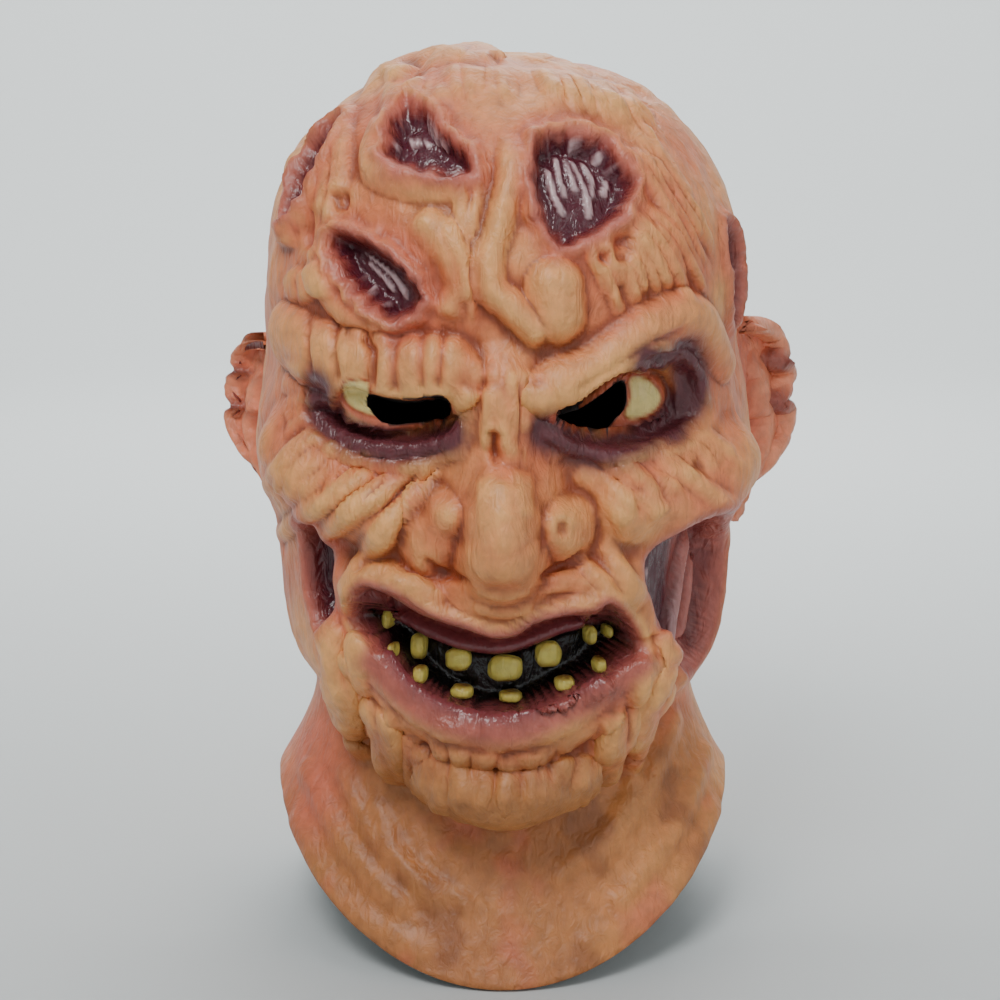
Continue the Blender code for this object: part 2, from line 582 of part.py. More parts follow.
def build():
    """Clears the scene and makes the skin and its teeth."""
    for obj in list(bpy.data.objects):
        bpy.data.objects.remove(obj)
    casting = shaped_casting()
    ears = [ear_mesh(-1, LEFT_EAR_SHARE), ear_mesh(1, 1.0)]
    form = fused([closed_form(casting.points, "form"), *ears], SKIN_FACES, "form")
    cavity = fused([closed_form(cavity_casting().points, "cavity")], CAVITY_FACES, "cavity")
    skin = place_object("mask_skin", form)
    cutters = [place_object("cavity", cavity, helper=True)]
    for outline in EYE_HOLES:
        cutters.append(place_object("eye_cutter", eye_cutter(casting, outline), helper=True))
    group = bpy.data.collections.new("cutters")
    bpy.context.scene.collection.children.link(group)
    for cutter in cutters:
        group.objects.link(cutter)
    hollow = skin.modifiers.new("hollow", "BOOLEAN")
    hollow.operation = "DIFFERENCE"
    hollow.operand_type = "COLLECTION"
    hollow.collection = group
    skin.data.materials.append(material("latex_skin", (0.80, 0.48, 0.31), 0.55))
    seat = place_object("tooth_seat", grown(form, SEAT_GAP, "tooth_seat"), helper=True)
    enamel = material("tooth_enamel", (0.66, 0.55, 0.16), 0.35)
    for tooth in TEETH:
        bm = bmesh.new()
        add_tooth(bm, casting, tooth)
        obj = place_object(tooth.name, finish_mesh(bm, tooth.name))
        cut = obj.modifiers.new("seat", "BOOLEAN")
        cut.operation = "DIFFERENCE"
        cut.object = seat
        obj.data.materials.append(enamel)


build()
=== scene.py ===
"""Burnt face mask, dressed: painted latex skin with its wounds, eye holes, ears and teeth."""

import json
import math
import random
from collections import namedtuple

import bmesh
import bpy
import numpy as np
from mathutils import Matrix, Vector, kdtree, noise

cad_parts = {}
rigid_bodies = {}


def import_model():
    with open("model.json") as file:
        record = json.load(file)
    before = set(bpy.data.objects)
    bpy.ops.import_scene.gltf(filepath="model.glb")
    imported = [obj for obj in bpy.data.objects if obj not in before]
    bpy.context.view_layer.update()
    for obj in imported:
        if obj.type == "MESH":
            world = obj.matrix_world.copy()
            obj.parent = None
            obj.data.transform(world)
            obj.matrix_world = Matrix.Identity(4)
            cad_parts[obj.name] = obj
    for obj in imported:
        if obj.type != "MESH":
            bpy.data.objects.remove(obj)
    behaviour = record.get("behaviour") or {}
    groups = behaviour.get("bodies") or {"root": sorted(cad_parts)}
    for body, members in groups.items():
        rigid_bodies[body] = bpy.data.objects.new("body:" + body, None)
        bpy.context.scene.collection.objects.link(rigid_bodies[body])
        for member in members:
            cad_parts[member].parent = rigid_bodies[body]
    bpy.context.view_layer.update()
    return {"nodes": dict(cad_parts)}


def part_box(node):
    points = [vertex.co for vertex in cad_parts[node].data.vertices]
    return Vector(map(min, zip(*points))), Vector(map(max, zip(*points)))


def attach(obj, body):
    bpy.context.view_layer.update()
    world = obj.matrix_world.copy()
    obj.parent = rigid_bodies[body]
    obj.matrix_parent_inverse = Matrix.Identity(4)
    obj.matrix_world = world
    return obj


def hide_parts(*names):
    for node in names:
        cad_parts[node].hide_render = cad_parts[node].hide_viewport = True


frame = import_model()

# The plain head. The real mask is one latex casting over a sculpted head, neck and bib. It is laid
# out here as a grid of points from the crown down to the hem, and the face is worked into it below.
HEAD_WIDTH = 0.180
HEAD_HEIGHT = 0.270
BROW_DEPTH = 0.100
SKULL_DEPTH = 0.108
DOME_HEIGHT = 0.091
NECK_WIDTH = 0.150
NECK_FRONT = 0.052
NECK_BACK = 0.076
NECK_END = 0.246
BIB_WIDTH = 0.182
BIB_FRONT = 0.094
BIB_BACK = 0.096
SHOULDER_DROP = 0.281
CHEST_DROP = 0.338
NAPE_DROP = 0.326
WALL = 0.003
Section = namedtuple("Section", "down width front back")
HEAD_SECTIONS = (
    Section(down=0.00, width=1.01, front=1.00, back=1.00),
    Section(down=0.10, width=1.00, front=0.99, back=1.00),
    Section(down=0.20, width=1.04, front=0.97, back=0.98),
    Section(down=0.36, width=1.06, front=0.95, back=0.92),
    Section(down=0.47, width=0.98, front=0.94, back=0.84),
    Section(down=0.66, width=0.94, front=0.93, back=0.68),
    Section(down=0.78, width=0.88, front=0.92, back=0.50),
    Section(down=0.86, width=0.74, front=0.91, back=0.35),
    Section(down=0.93, width=0.58, front=0.92, back=0.25),
    Section(down=1.00, width=0.46, front=0.91, back=0.15),
    Section(down=1.04, width=0.35, front=0.82, back=0.10),
    Section(down=1.07, width=0.20, front=0.56, back=0.06),
    Section(down=1.10, width=0.05, front=0.20, back=0.02),
)
DOME_SQUARENESS = 2.25
HEAD_SQUARENESS = 2.15
NECK_SQUARENESS = 2.0
JAW_BLEND = 0.006


def smooth_between(places, known, values):
    """A smooth curve through the known places, read at the given places."""
    slopes = np.gradient(values, known)
    span = np.clip(np.searchsorted(known, places) - 1, 0, len(known) - 2)
    gap = known[span + 1] - known[span]
    t = np.clip((places - known[span]) / gap, 0, 1)
    start = values[span] * (1 + 2 * t) * (1 - t) ** 2 + slopes[span] * gap * t * (1 - t) ** 2
    end = values[span + 1] * t * t * (3 - 2 * t) + slopes[span + 1] * gap * t * t * (t - 1)
    return start + end


def eased(share):
    """A share from 0 to 1 that starts and ends gently."""
    share = np.clip(share, 0, 1)
    return share * share * (3 - 2 * share)


def oval(turn, half_width, front, back, squareness):
    """Distance from the axis to an oval, at a turn from the front."""
    depth = np.where(np.cos(turn) > 0, front, back)
    across = np.abs(np.sin(turn)) / half_width
    along = np.abs(np.cos(turn)) / depth
    return (across**squareness + along**squareness) ** (-1 / squareness)


def hem_drop(turn):
    """How far below the crown the hem lies: low on the chest and nape, high on the shoulders."""
    lowest = np.where(np.cos(turn) > 0, CHEST_DROP, NAPE_DROP)
    return SHOULDER_DROP + (lowest - SHOULDER_DROP) * np.abs(np.cos(turn)) ** 1.5


def head_reach(turn, drop):
    """Distance from the axis to the plain head, below its crown by drop."""
    known = np.array([section.down for section in HEAD_SECTIONS])
    down = (drop - DOME_HEIGHT) / (HEAD_HEIGHT - DOME_HEIGHT)
    level = np.clip(1 - drop / DOME_HEIGHT, 0, 1)
    dome = np.maximum(1 - level**DOME_SQUARENESS, 1e-9) ** (1 / DOME_SQUARENESS)
    sizes = []
    for name, size in (("width", HEAD_WIDTH / 2), ("front", BROW_DEPTH), ("back", SKULL_DEPTH)):
        shares = np.array([getattr(section, name) for section in HEAD_SECTIONS])
        share = smooth_between(np.clip(down, 0, known[-1]), known, shares)
        sizes.append(size * dome * share)
    return oval(turn, sizes[0], sizes[1], sizes[2], HEAD_SQUARENESS)


def neck_reach(turn, drop):
    """Distance from the axis to the neck, which flares into the bib at its hem."""
    flare = np.clip((drop - NECK_END) / (hem_drop(turn) - NECK_END), 0, 1) ** 1.3
    width = (NECK_WIDTH + (BIB_WIDTH - NECK_WIDTH) * flare) / 2
    front = NECK_FRONT + (BIB_FRONT - NECK_FRONT) * flare
    back = NECK_BACK + (BIB_BACK - NECK_BACK) * flare
    start = eased((drop - DOME_HEIGHT) / DOME_HEIGHT)
    return start * oval(turn, width, front, back, NECK_SQUARENESS)


def spread(count, density):
    """Shares from 0 to 1, closest together where the density is highest."""
    fine = np.linspace(0, 1, 4001)
    total = np.concatenate([[0], np.cumsum(density((fine[1:] + fine[:-1]) / 2))])
    return np.interp(np.linspace(0, 1, count + 1), total / total[-1], fine)


# The sculpting of the skin. The maker works folds, strands, creases and pits into clay from a front
# view. Places on the face are charted the same way: right and down from the top left corner of a
# square front view seen from a little above, in hundredths of its side.
CHART_TILT = math.radians(12)
CHART_DISTANCE = 187.5
CHART_MIDDLE = 50.3
CHART_LEVEL = 50.0
LEVEL_DROP_SHARE = 0.64
WIDTH_ON_CHART = 45.0
HEIGHT_ON_CHART = 67.5
DEPTH_ON_CHART = 52.0
MM = 0.001
ROUND = 1.0
STRAND = 0.9
SOFT = 2.0


def on_chart(points, turn=0.0):
    """Column, row and distance of points on the chart, or on a chart of the head turned round."""
    across = points[..., 0] / HEAD_WIDTH * WIDTH_ON_CHART
    back = points[..., 1] / (BROW_DEPTH + SKULL_DEPTH) * DEPTH_ON_CHART
    up = (LEVEL_DROP_SHARE - (WALL - points[..., 2]) / HEAD_HEIGHT) * HEIGHT_ON_CHART
    side = across * math.cos(turn) + back * math.sin(turn)
    away = back * math.cos(turn) - across * math.sin(turn)
    far = CHART_DISTANCE + away * math.cos(CHART_TILT) - up * math.sin(CHART_TILT)
    lift = up * math.cos(CHART_TILT) + away * math.sin(CHART_TILT)
    zoom = CHART_DISTANCE / far
    return CHART_MIDDLE + side * zoom, CHART_LEVEL - lift * zoom, far


def curve_through(places, closed=False, steps=4):
    """Points on a smooth curve through the places, evenly many between each two."""
    places = np.array(places, float)
    if closed:
        ends = np.vstack([places[-1:], places, places[:2]])
    else:
        ends = np.vstack([2 * places[:1] - places[1:2], places, 2 * places[-1:] - places[-2:-1]])
    curve = []
    for before, start, end, after in zip(ends[:-3], ends[1:-2], ends[2:-1], ends[3:]):
        for t in np.arange(steps) / steps:
            bend = 2 * before - 5 * start + 4 * end - after
            twist = 3 * start - before - 3 * end + after
            curve.append(start + 0.5 * t * (end - before + t * (bend + t * twist)))
    if not closed:
        curve.append(places[-1])
    return np.array(curve)


def distance_to_course(points, course):
    """Each point's distance to a course of points, and how far along the course it lies."""
    nearest = np.full(len(points), np.inf)
    along = np.zeros(len(points))
    for number, (start, end) in enumerate(zip(course[:-1], course[1:])):
        leg = end - start
        t = np.clip((points - start) @ leg / max(leg @ leg, 1e-12), 0, 1)
        distance = np.linalg.norm(points - start - t[:, None] * leg, axis=1)
        closer = distance < nearest
        nearest[closer] = distance[closer]
        along[closer] = (number + t[closer]) / (len(course) - 1)
    return nearest, along


def inside(places, outline):
    """Whether each chart place lies inside a closed outline."""
    crossings = np.zeros(len(places), int)
    for start, end in zip(outline, np.roll(outline, -1, axis=0)):
        spans = (start[1] > places[:, 1]) != (end[1] > places[:, 1])
        rise = end[1] - start[1]
        level = start[0] + (places[:, 1] - start[1]) / (rise if rise else 1) * (end[0] - start[0])
        crossings += spans & (places[:, 0] < level)
    return crossings % 2 == 1


def blurred(values, steps):
    """Grid values averaged with their neighbours, around and down."""
    for step in range(steps):
        values = (np.roll(values[:, :-1], 1, axis=1) + values[:, :-1] + np.roll(values[:, :-1], -1, axis=1)) / 3
        values = np.concatenate([values, values[:, :1]], axis=1)
        padded = np.concatenate([values[:1], values, values[-1:]])
        values = (padded[:-2] + padded[1:-1] + padded[2:]) / 3
    return values


# A fold runs along a course of chart places; its half-widths and heights at its two ends are in
# millimetres, and it tapers over a share of its length at each end. A fan is a row of strands between
# its first and last course, each as wide as the space between two, times its fullness. A pit is pressed
# in over an outline; its edge is in chart units, and its turn is how far round the head it is seen from.
Fold = namedtuple("Fold", "course widths heights edge turn taper", defaults=(ROUND, 0, 0))
Fan = namedtuple("Fan", "first last count fullness height turn taper", defaults=(0, 0.2))
Pit = namedtuple("Pit", "outline depth edge rim turn ragged", defaults=(0, 0))


class Casting:
    """A grid of points over the whole mask, from the crown to the hem."""

    def __init__(self, columns, rows, face_detail):
        turns = 2 * spread(columns, lambda t: 1 + face_detail * (np.abs(t - 0.5) < 0.23)) - 1
        self.turns = turns[None, :] * math.pi
        shares = spread(rows, lambda t: 1 + 0.6 * ((t > 0.18) & (t < 0.78)))
        head = DOME_HEIGHT * math.pi / 2
        face = NECK_END - DOME_HEIGHT
        neck = CHEST_DROP - NECK_END
        run = (shares * (head + face + neck))[:, None]
        dome_drop = DOME_HEIGHT * (1 - np.cos(np.clip(run / head, 0, 1) * math.pi / 2))
        neck_share = np.clip((run - head - face) / neck, 0, 1)
        drop = dome_drop + np.clip(run - head, 0, face) + neck_share * (hem_drop(self.turns) - NECK_END)
        head_size = head_reach(self.turns, drop)
        neck_size = neck_reach(self.turns, drop)
        gap = head_size - neck_size
        blend = JAW_BLEND * eased((drop - DOME_HEIGHT) / DOME_HEIGHT)
        reach = (head_size + neck_size + np.sqrt(gap * gap + blend * blend)) / 2
        reach[0] = 0
        x = reach * np.sin(self.turns)
        y = -reach * np.cos(self.turns)
        self.points = np.stack([x, y, WALL - drop], axis=-1)
        self.plain_normals = self.normals()
        self.look()

    def normals(self):
        """The outward direction at each point."""
        around = np.gradient(self.points, axis=1)
        around[:, 0] = self.points[:, 1] - self.points[:, -2]
        around[:, -1] = around[:, 0]
        down = np.gradient(self.points, axis=0)
        outward = np.cross(down, around)
        outward[0] = (0, 0, 1)
        return outward / np.maximum(np.linalg.norm(outward, axis=-1, keepdims=True), 1e-12)

    def look(self):
        """Charts the casting as it is now, so that places can be found on it."""
        self.found = {}

    def tree(self, turn):
        """The points seen from a turn, by their chart places."""
        if turn not in self.found:
            angle = math.radians(turn)
            columns, rows, far = on_chart(self.points, angle)
            view = self.plain_normals[..., 0] * math.sin(angle) - self.plain_normals[..., 1] * math.cos(angle)
            seen = view * math.cos(CHART_TILT) + self.plain_normals[..., 2] * math.sin(CHART_TILT) > 0.02
            places = np.stack([columns[seen], rows[seen]], axis=-1)
            tree = kdtree.KDTree(len(places))
            for number, (column, row) in enumerate(places):
                tree.insert((column, row, 0), number)
            tree.balance()
            self.found[turn] = (tree, self.points[seen])
        return self.found[turn]

    def under(self, places, turn=0):
        """The points of the casting that lie under chart places."""
        tree, points = self.tree(turn)
        result = []
        for column, row in np.atleast_2d(places):
            near = tree.find_n((column, row, 0), 4)
            weights = np.array([1 / (distance + 1e-3) for place, number, distance in near])
            spots = points[[number for place, number, distance in near]]
            result.append((spots * weights[:, None]).sum(axis=0) / weights.sum())
        return np.array(result)

    def near_course(self, course, reach):
        """Which points lie within reach of a course, how far they are and how far along it."""
        low = course.min(axis=0) - reach
        high = course.max(axis=0) + reach
        near = ((self.points > low) & (self.points < high)).all(axis=-1)
        distance, along = distance_to_course(self.points[near], course)
        return near, distance, along

    def close_to(self, course, reach, turn=0):
        """How close each point lies to a course of chart places: 1 on it, 0 beyond reach."""
        spots = self.under(curve_through(course), turn)
        near, distance, along = self.near_course(spots, reach * MM)
        amount = np.zeros(self.points.shape[:2])
        amount[near] = eased(1 - distance / (reach * MM))
        return amount

    def raise_folds(self, folds, forward=False, where=1.0, scale=1.0):
        """Raises folds, or presses them in where their height is negative."""
        up = np.zeros(self.points.shape[:2])
        down = np.zeros(self.points.shape[:2])
        added = np.zeros(self.points.shape[:2])
        for fold in folds:
            course = self.under(curve_through(fold.course), fold.turn)
            near, distance, along = self.near_course(course, max(fold.widths) * MM)
            reach = MM * (fold.widths[0] + (fold.widths[1] - fold.widths[0]) * along)
            rise = MM * (fold.heights[0] + (fold.heights[1] - fold.heights[0]) * along)
            if fold.taper:
                rise = rise * eased((0.5 - np.abs(along - 0.5)) / fold.taper + 0.15)
            shape = rise * np.maximum(1 - (distance / reach) ** 2, 0) ** fold.edge
            if fold.edge == SOFT:
                added[near] += shape
            elif max(fold.heights) > 0:
                up[near] = np.maximum(up[near], shape)
            else:
                down[near] = np.minimum(down[near], shape)
        way = np.array((0.0, -1.0, 0.0)) if forward else self.normals()
        self.points = self.points + way * ((up + down + added) * where * scale)[..., None]
        self.look()

    def lay_fans(self, fans, where=1.0, scale=1.0, seed=1):
        """Lays rows of strands between the courses of each fan, each a little different."""
        chance = random.Random(seed)
        strands = []
        for fan in fans:
            first = curve_through(fan.first, steps=3)
            last = curve_through(fan.last, steps=3)
            steps = np.linspace(0, 1, max(len(first), len(last)))
            first = np.stack([np.interp(steps, np.linspace(0, 1, len(first)), first[:, i]) for i in (0, 1)], -1)
            last = np.stack([np.interp(steps, np.linspace(0, 1, len(last)), last[:, i]) for i in (0, 1)], -1)
            apart = np.linalg.norm(last - first, axis=1).mean() / fan.count
            between = np.linalg.norm(self.under(first, fan.turn) - self.under(last, fan.turn), axis=1)
            half = between.mean() / fan.count / 2 / MM * fan.fullness
            for number in range(fan.count):
                share = (number + 0.5 + chance.uniform(-0.28, 0.28)) / fan.count
                sway = apart * 0.28 * np.sin(steps * chance.uniform(3, 8) + chance.uniform(0, 6))
                course = first + (last - first) * share + sway[:, None]
                start = round(chance.uniform(0, 0.12) * len(course))
                end = len(course) - round(chance.uniform(0, 0.15) * len(course))
                widths = (half * chance.uniform(0.8, 1.3), half * chance.uniform(0.8, 1.3))
                heights = (fan.height * chance.uniform(0.7, 1.2), fan.height * chance.uniform(0.6, 1.2))
                strands.append(Fold(tuple(course[start:end:2]), widths, heights, STRAND, fan.turn, fan.taper))
        self.raise_folds(strands, where=where, scale=scale)

    def depth_inside(self, pit):
        """How far inside a pit's outline each point lies, in chart units, negative outside."""
        columns, rows, far = on_chart(self.points, math.radians(pit.turn))
        outline = curve_through(pit.outline, closed=True, steps=3)
        low = outline.min(axis=0) - 5
        high = outline.max(axis=0) + 5
        near = (columns > low[0]) & (columns < high[0]) & (rows > low[1]) & (rows < high[1])
        near &= far < CHART_DISTANCE
        places = np.stack([columns[near], rows[near]], axis=-1)
        distance, along = distance_to_course(places, np.vstack([outline, outline[:1]]))
        deep = np.full(self.points.shape[:2], -5.0)
        deep[near] = np.where(inside(places, outline), distance, -distance)
        if pit.ragged:
            frayed = [noise.noise((column, row, pit.turn)) for column, row in (0.75 * places).tolist()]
            deep[near] += pit.ragged * np.array(frayed)
        return deep

    def set_eyeball(self, eyeball):
        """Rounds the skin between the lids into the front of an eyeball."""
        place = self.under(eyeball.middle)[0]
        apart = self.points - place
        round_front = eyeball.radius**2 - apart[..., 0] ** 2 - apart[..., 2] ** 2
        level = place[1] + eyeball.radius - EYEBALL_BULGE - np.sqrt(np.maximum(round_front, 0))
        share = eased(self.depth_inside(Pit(eyeball.outline, 0, 1, 0)) / 0.5 + 0.5)
        self.points[..., 1] += (level - self.points[..., 1]) * share * (round_front > 0)
        self.look()

    def press_pits(self, pits, margin=0.0):
        """Presses pits in over their outlines, and raises a rim round each. Depths are in millimetres."""
        sink = np.zeros(self.points.shape[:2])
        for pit in pits:
            deep = self.depth_inside(pit) + margin
            hollow = pit.depth * eased((deep + 0.25 * pit.edge) / pit.edge)
            rim = 0.0 if margin else pit.rim * np.exp(-((deep / pit.edge + 0.95) ** 2) / 0.7)
            sink += MM * (hollow - rim)
        self.points = self.points - self.plain_normals * sink[..., None]
        self.look()


Eyeball = namedtuple("Eyeball", "middle radius outline white")

# The main forms of the face: eye sockets, brows, nose, cheeks, lips, chin and the ropes of melted
# flesh that hang from the jaw. They are thick latex, raised well off the plain head.
SOCKETS = (
    Pit(((31.0, 40.8), (35.0, 40.6), (40.0, 41.2), (45.5, 41.2), (46.3, 42.2), (42.0, 44.5),
         (36.0, 44.2), (32.5, 43.0)), 12, 2.0, 0.0),
    Pit(((55.0, 42.0), (59.0, 41.2), (62.5, 38.5), (66.0, 36.5), (69.5, 37.0), (70.5, 40.5),
         (69.0, 43.5), (63.0, 45.0), (57.0, 43.8)), 12, 2.0, 0.0),
)
BROWS = (
    Fold(((29.0, 33.8), (34.0, 36.2), (39.0, 37.4), (44.4, 37.2)), (12.5, 13.5), (7, 9.5), 0.6),
    Fold(((55.8, 38.6), (60.0, 36.8), (64.5, 33.2), (69.0, 31.8), (72.0, 36.0)), (11, 9), (10, 6), 0.8),
)
BROW_GROOVES = (
    Fold(((30.9, 31.4), (30.7, 34.6), (31.0, 37.6)), (3.0, 3.0), (-1.2, -1.8), SOFT),
    Fold(((33.9, 31.0), (33.3, 34.8), (33.6, 38.8)), (3.4, 3.4), (-1.5, -2.4), SOFT),
    Fold(((36.6, 32.4), (37.0, 35.4), (36.6, 39.8)), (3.6, 3.6), (-3.0, -3.6), SOFT),
    Fold(((39.6, 33.4), (39.2, 36.4), (39.4, 40.2)), (3.4, 3.4), (-1.3, -2.2), SOFT),
    Fold(((42.4, 32.6), (42.0, 36.0), (42.2, 40.0)), (3.0, 3.0), (-1.1, -1.8), SOFT),
    Fold(((44.4, 32.4), (44.0, 36.0), (43.6, 39.8)), (3.0, 3.0), (-1.6, -2.0), SOFT),
    Fold(((57.0, 39.6), (61.0, 37.2), (65.0, 34.6), (69.6, 32.6)), (2.6, 2.6), (-1.4, -1.4), SOFT),
)
CHEEKS_AND_JAW = (
    Fold(((28.5, 45.0), (33.0, 49.5), (38.5, 52.0)), (20, 17), (9, 10), SOFT),
    Fold(((73.0, 46.5), (69.5, 49.5), (62.5, 51.5)), (22, 17), (10, 9), SOFT),
    Fold(((36.0, 58.5), (40.0, 58.0), (45.0, 59.5), (50.0, 61.0), (56.0, 59.0), (61.0, 58.0)), (15, 15), (8, 8), SOFT),
    Fold(((36.5, 65.5), (40.5, 70.5), (46.0, 73.5), (51.0, 74.0), (56.5, 73.0), (60.5, 70.0), (64.0, 66.0)),
         (9, 9), (6, 6)),
    Fold(((44.5, 79.5), (51.0, 81.0), (57.5, 79.0)), (14, 14), (5, 5)),
    Fold(((34.5, 63.0), (34.6, 69.0), (36.5, 74.0)), (8, 9), (5, 9)),
    Fold(((65.5, 65.0), (64.5, 70.0), (62.5, 75.0)), (8, 9), (5, 9)),
    Fold(((38.5, 71.0), (40.0, 77.0)), (7, 7), (6, 8)),
    Fold(((61.5, 71.5), (60.0, 77.0)), (7, 7), (6, 8)),
)
NOSE = (
    Fold(((50.2, 38.0), (50.2, 45.0), (50.2, 51.0)), (16, 28), (7.8, 12.8), SOFT),
    Fold(((50.2, 51.0), (50.2, 56.0)), (28, 27), (8.4, 14.0), SOFT),
    Fold(((50.2, 49.0), (50.2, 55.4)), (12, 17), (4.6, 8.4), 1.2),
    Fold(((48.6, 55.4), (51.8, 55.4)), (12, 12), (9.0, 9.0), 0.9),
    Fold(((43.6, 51.0), (42.9, 52.8), (42.8, 54.6)), (10.5, 11), (10.4, 11), 1.2),
    Fold(((56.7, 52.0), (56.9, 53.8)), (10.5, 10.5), (9, 9), 1.3),
)

# The thick ropes, lumps and bands of flesh on the forehead, cheeks and eyelids, each laid one by one.
FOREHEAD_ROPE = Fold(((51.2, 13.5), (51.0, 18.2), (50.1, 21.7), (48.8, 25.8), (49.0, 29.0), (51.0, 30.8),
                      (53.2, 32.7), (54.6, 34.6)), (5, 6.4), (4.6, 6.6), 0.8)
EGG = Fold(((55.4, 28.9), (55.7, 31.6)), (10.5, 10.5), (7, 7), 0.8)
ROPES = (
    FOREHEAD_ROPE,
    Fold(((38.5, 9.0), (41.0, 7.6), (45.0, 6.6), (49.8, 6.6)), (9, 9), (5, 5)),
    Fold(((38.8, 11.4), (37.2, 14.8), (37.8, 17.4), (42.0, 18.8), (47.0, 18.8)), (6, 6), (4, 4)),
    Fold(((29.5, 20.5), (28.8, 25.0)), (9, 9), (5, 5), SOFT),
    Fold(((41.7, 21.4), (44.5, 24.7), (45.8, 28.6), (44.6, 32.0)), (7, 7), (4, 3), SOFT),
    Fold(((32.0, 24.0), (32.2, 28.0), (35.0, 31.5), (39.5, 33.8)), (6, 6), (4, 3)),
    Fold(((42.5, 45.9), (38.1, 49.4), (33.6, 52.6), (31.8, 55.4)), (4.6, 5), (2.4, 3.2)),
    Fold(((37.5, 47.5), (31.1, 51.0), (28.0, 53.6)), (4.6, 4), (2.2, 2.4)),
    Fold(((42.4, 48.0), (39.2, 52.6), (36.0, 56.6), (34.8, 60.0)), (5, 6), (2.6, 4)),
    Fold(((61.4, 46.4), (64.0, 48.6), (66.4, 52.0)), (4, 5), (1.6, 2.0)),
    Fold(((65.3, 45.8), (69.7, 48.4), (73.0, 51.0)), (4, 5), (1.6, 2.0)),
    Fold(((57.5, 47.0), (60.4, 49.2), (63.0, 52.6)), (4, 5), (1.8, 2.2)),
    Fold(((59.6, 54.0), (62.0, 57.0), (63.6, 60.4), (64.4, 64.5)), (4.6, 6.4), (2.6, 4.6)),
    Fold(((57.8, 56.2), (60.0, 58.0), (61.8, 60.2)), (3.6, 4), (2, 2.4)),
    Fold(((53.2, 13.2), (52.6, 17.6), (53.2, 22.6)), (4, 4), (2.6, 2.6)),
    Fold(((47.3, 38.8), (46.4, 42.0), (45.4, 45.8)), (5, 6), (2.6, 2.6)),
    Fold(((53.4, 38.6), (54.4, 42.0), (56.2, 45.8)), (5, 6), (2.6, 2.6)),
    Fold(((47.6, 59.0), (50.3, 59.6), (53.0, 59.0)), (2.4, 2.4), (1.2, 1.2)),
    Fold(((47.4, 60.6), (50.3, 61.2), (53.2, 60.6)), (2.4, 2.4), (1.2, 1.2)),
    Fold(((35.6, 60.6), (36.2, 58.2), (38.6, 57.0), (41.8, 59.0), (45.8, 61.8), (50.0, 63.0),
          (53.2, 61.8), (57.0, 60.4), (60.4, 59.9), (62.6, 61.8), (64.0, 64.6)), (4, 4.4), (3.4, 3.4)),
    Fold(((35.6, 61.6), (37.0, 65.6), (39.6, 69.4), (43.4, 72.4), (48.0, 73.6), (53.0, 73.6),
          (57.4, 71.6), (60.6, 69.0), (63.6, 66.2)), (5, 5), (3.6, 3.6)),
)
LIDS = (
    Fold(((45.4, 42.0), (42.0, 43.0), (38.6, 43.2), (35.4, 42.2), (33.6, 40.6), (33.2, 38.8)), (2.8, 2.4), (2.6, 2.2)),
    Fold(((45.8, 43.6), (42.0, 44.8), (37.8, 44.8), (34.0, 43.4), (31.6, 41.2), (31.2, 38.6)), (3.0, 2.6), (2.6, 2.0)),
    Fold(((46.0, 45.2), (42.0, 46.6), (37.4, 46.4), (33.0, 44.8), (30.4, 42.6)), (2.8, 2.4), (1.8, 1.2)),
    Fold(((54.6, 41.9), (57.0, 43.2), (61.0, 43.6), (64.6, 42.5), (67.0, 40.9)), (2.8, 2.8), (2.8, 2.8)),
    Fold(((54.2, 43.0), (57.6, 45.0), (61.6, 45.5), (66.0, 44.2), (69.6, 41.8)), (3.0, 2.6), (2.6, 2.2)),
    Fold(((62.8, 37.1), (65.4, 36.3), (67.0, 37.6), (67.8, 39.6), (67.0, 41.0)), (2.6, 2.6), (2.2, 2.2)),
    Fold(((64.4, 34.9), (67.8, 34.9), (69.6, 37.2), (70.4, 40.8)), (3.0, 2.6), (2.4, 2.2)),
)
EYEBALLS = (
    Eyeball((38.8, 41.0), 0.022, ((33.8, 39.8), (34.8, 39.0), (36.4, 39.3), (38.6, 40.0), (41.0, 40.3),
                                  (43.0, 40.1), (45.2, 40.5), (45.0, 41.8), (42.6, 42.6), (38.8, 42.8),
                                  (35.6, 41.8)),
            ((34.3, 38.4), (36.6, 38.2), (37.0, 40.2), (37.5, 41.5), (36.2, 41.3), (34.7, 40.4))),
    Eyeball((61.8, 40.4), 0.022, ((54.8, 41.8), (57.8, 40.6), (60.6, 38.6), (62.8, 37.4), (65.4, 37.6),
                                  (66.4, 39.4), (65.4, 41.4), (62.0, 42.8), (58.0, 42.8)),
            ((62.9, 37.9), (64.6, 37.9), (66.1, 39.6), (65.3, 41.2), (63.2, 42.0), (62.4, 41.4), (63.0, 39.8))),
)

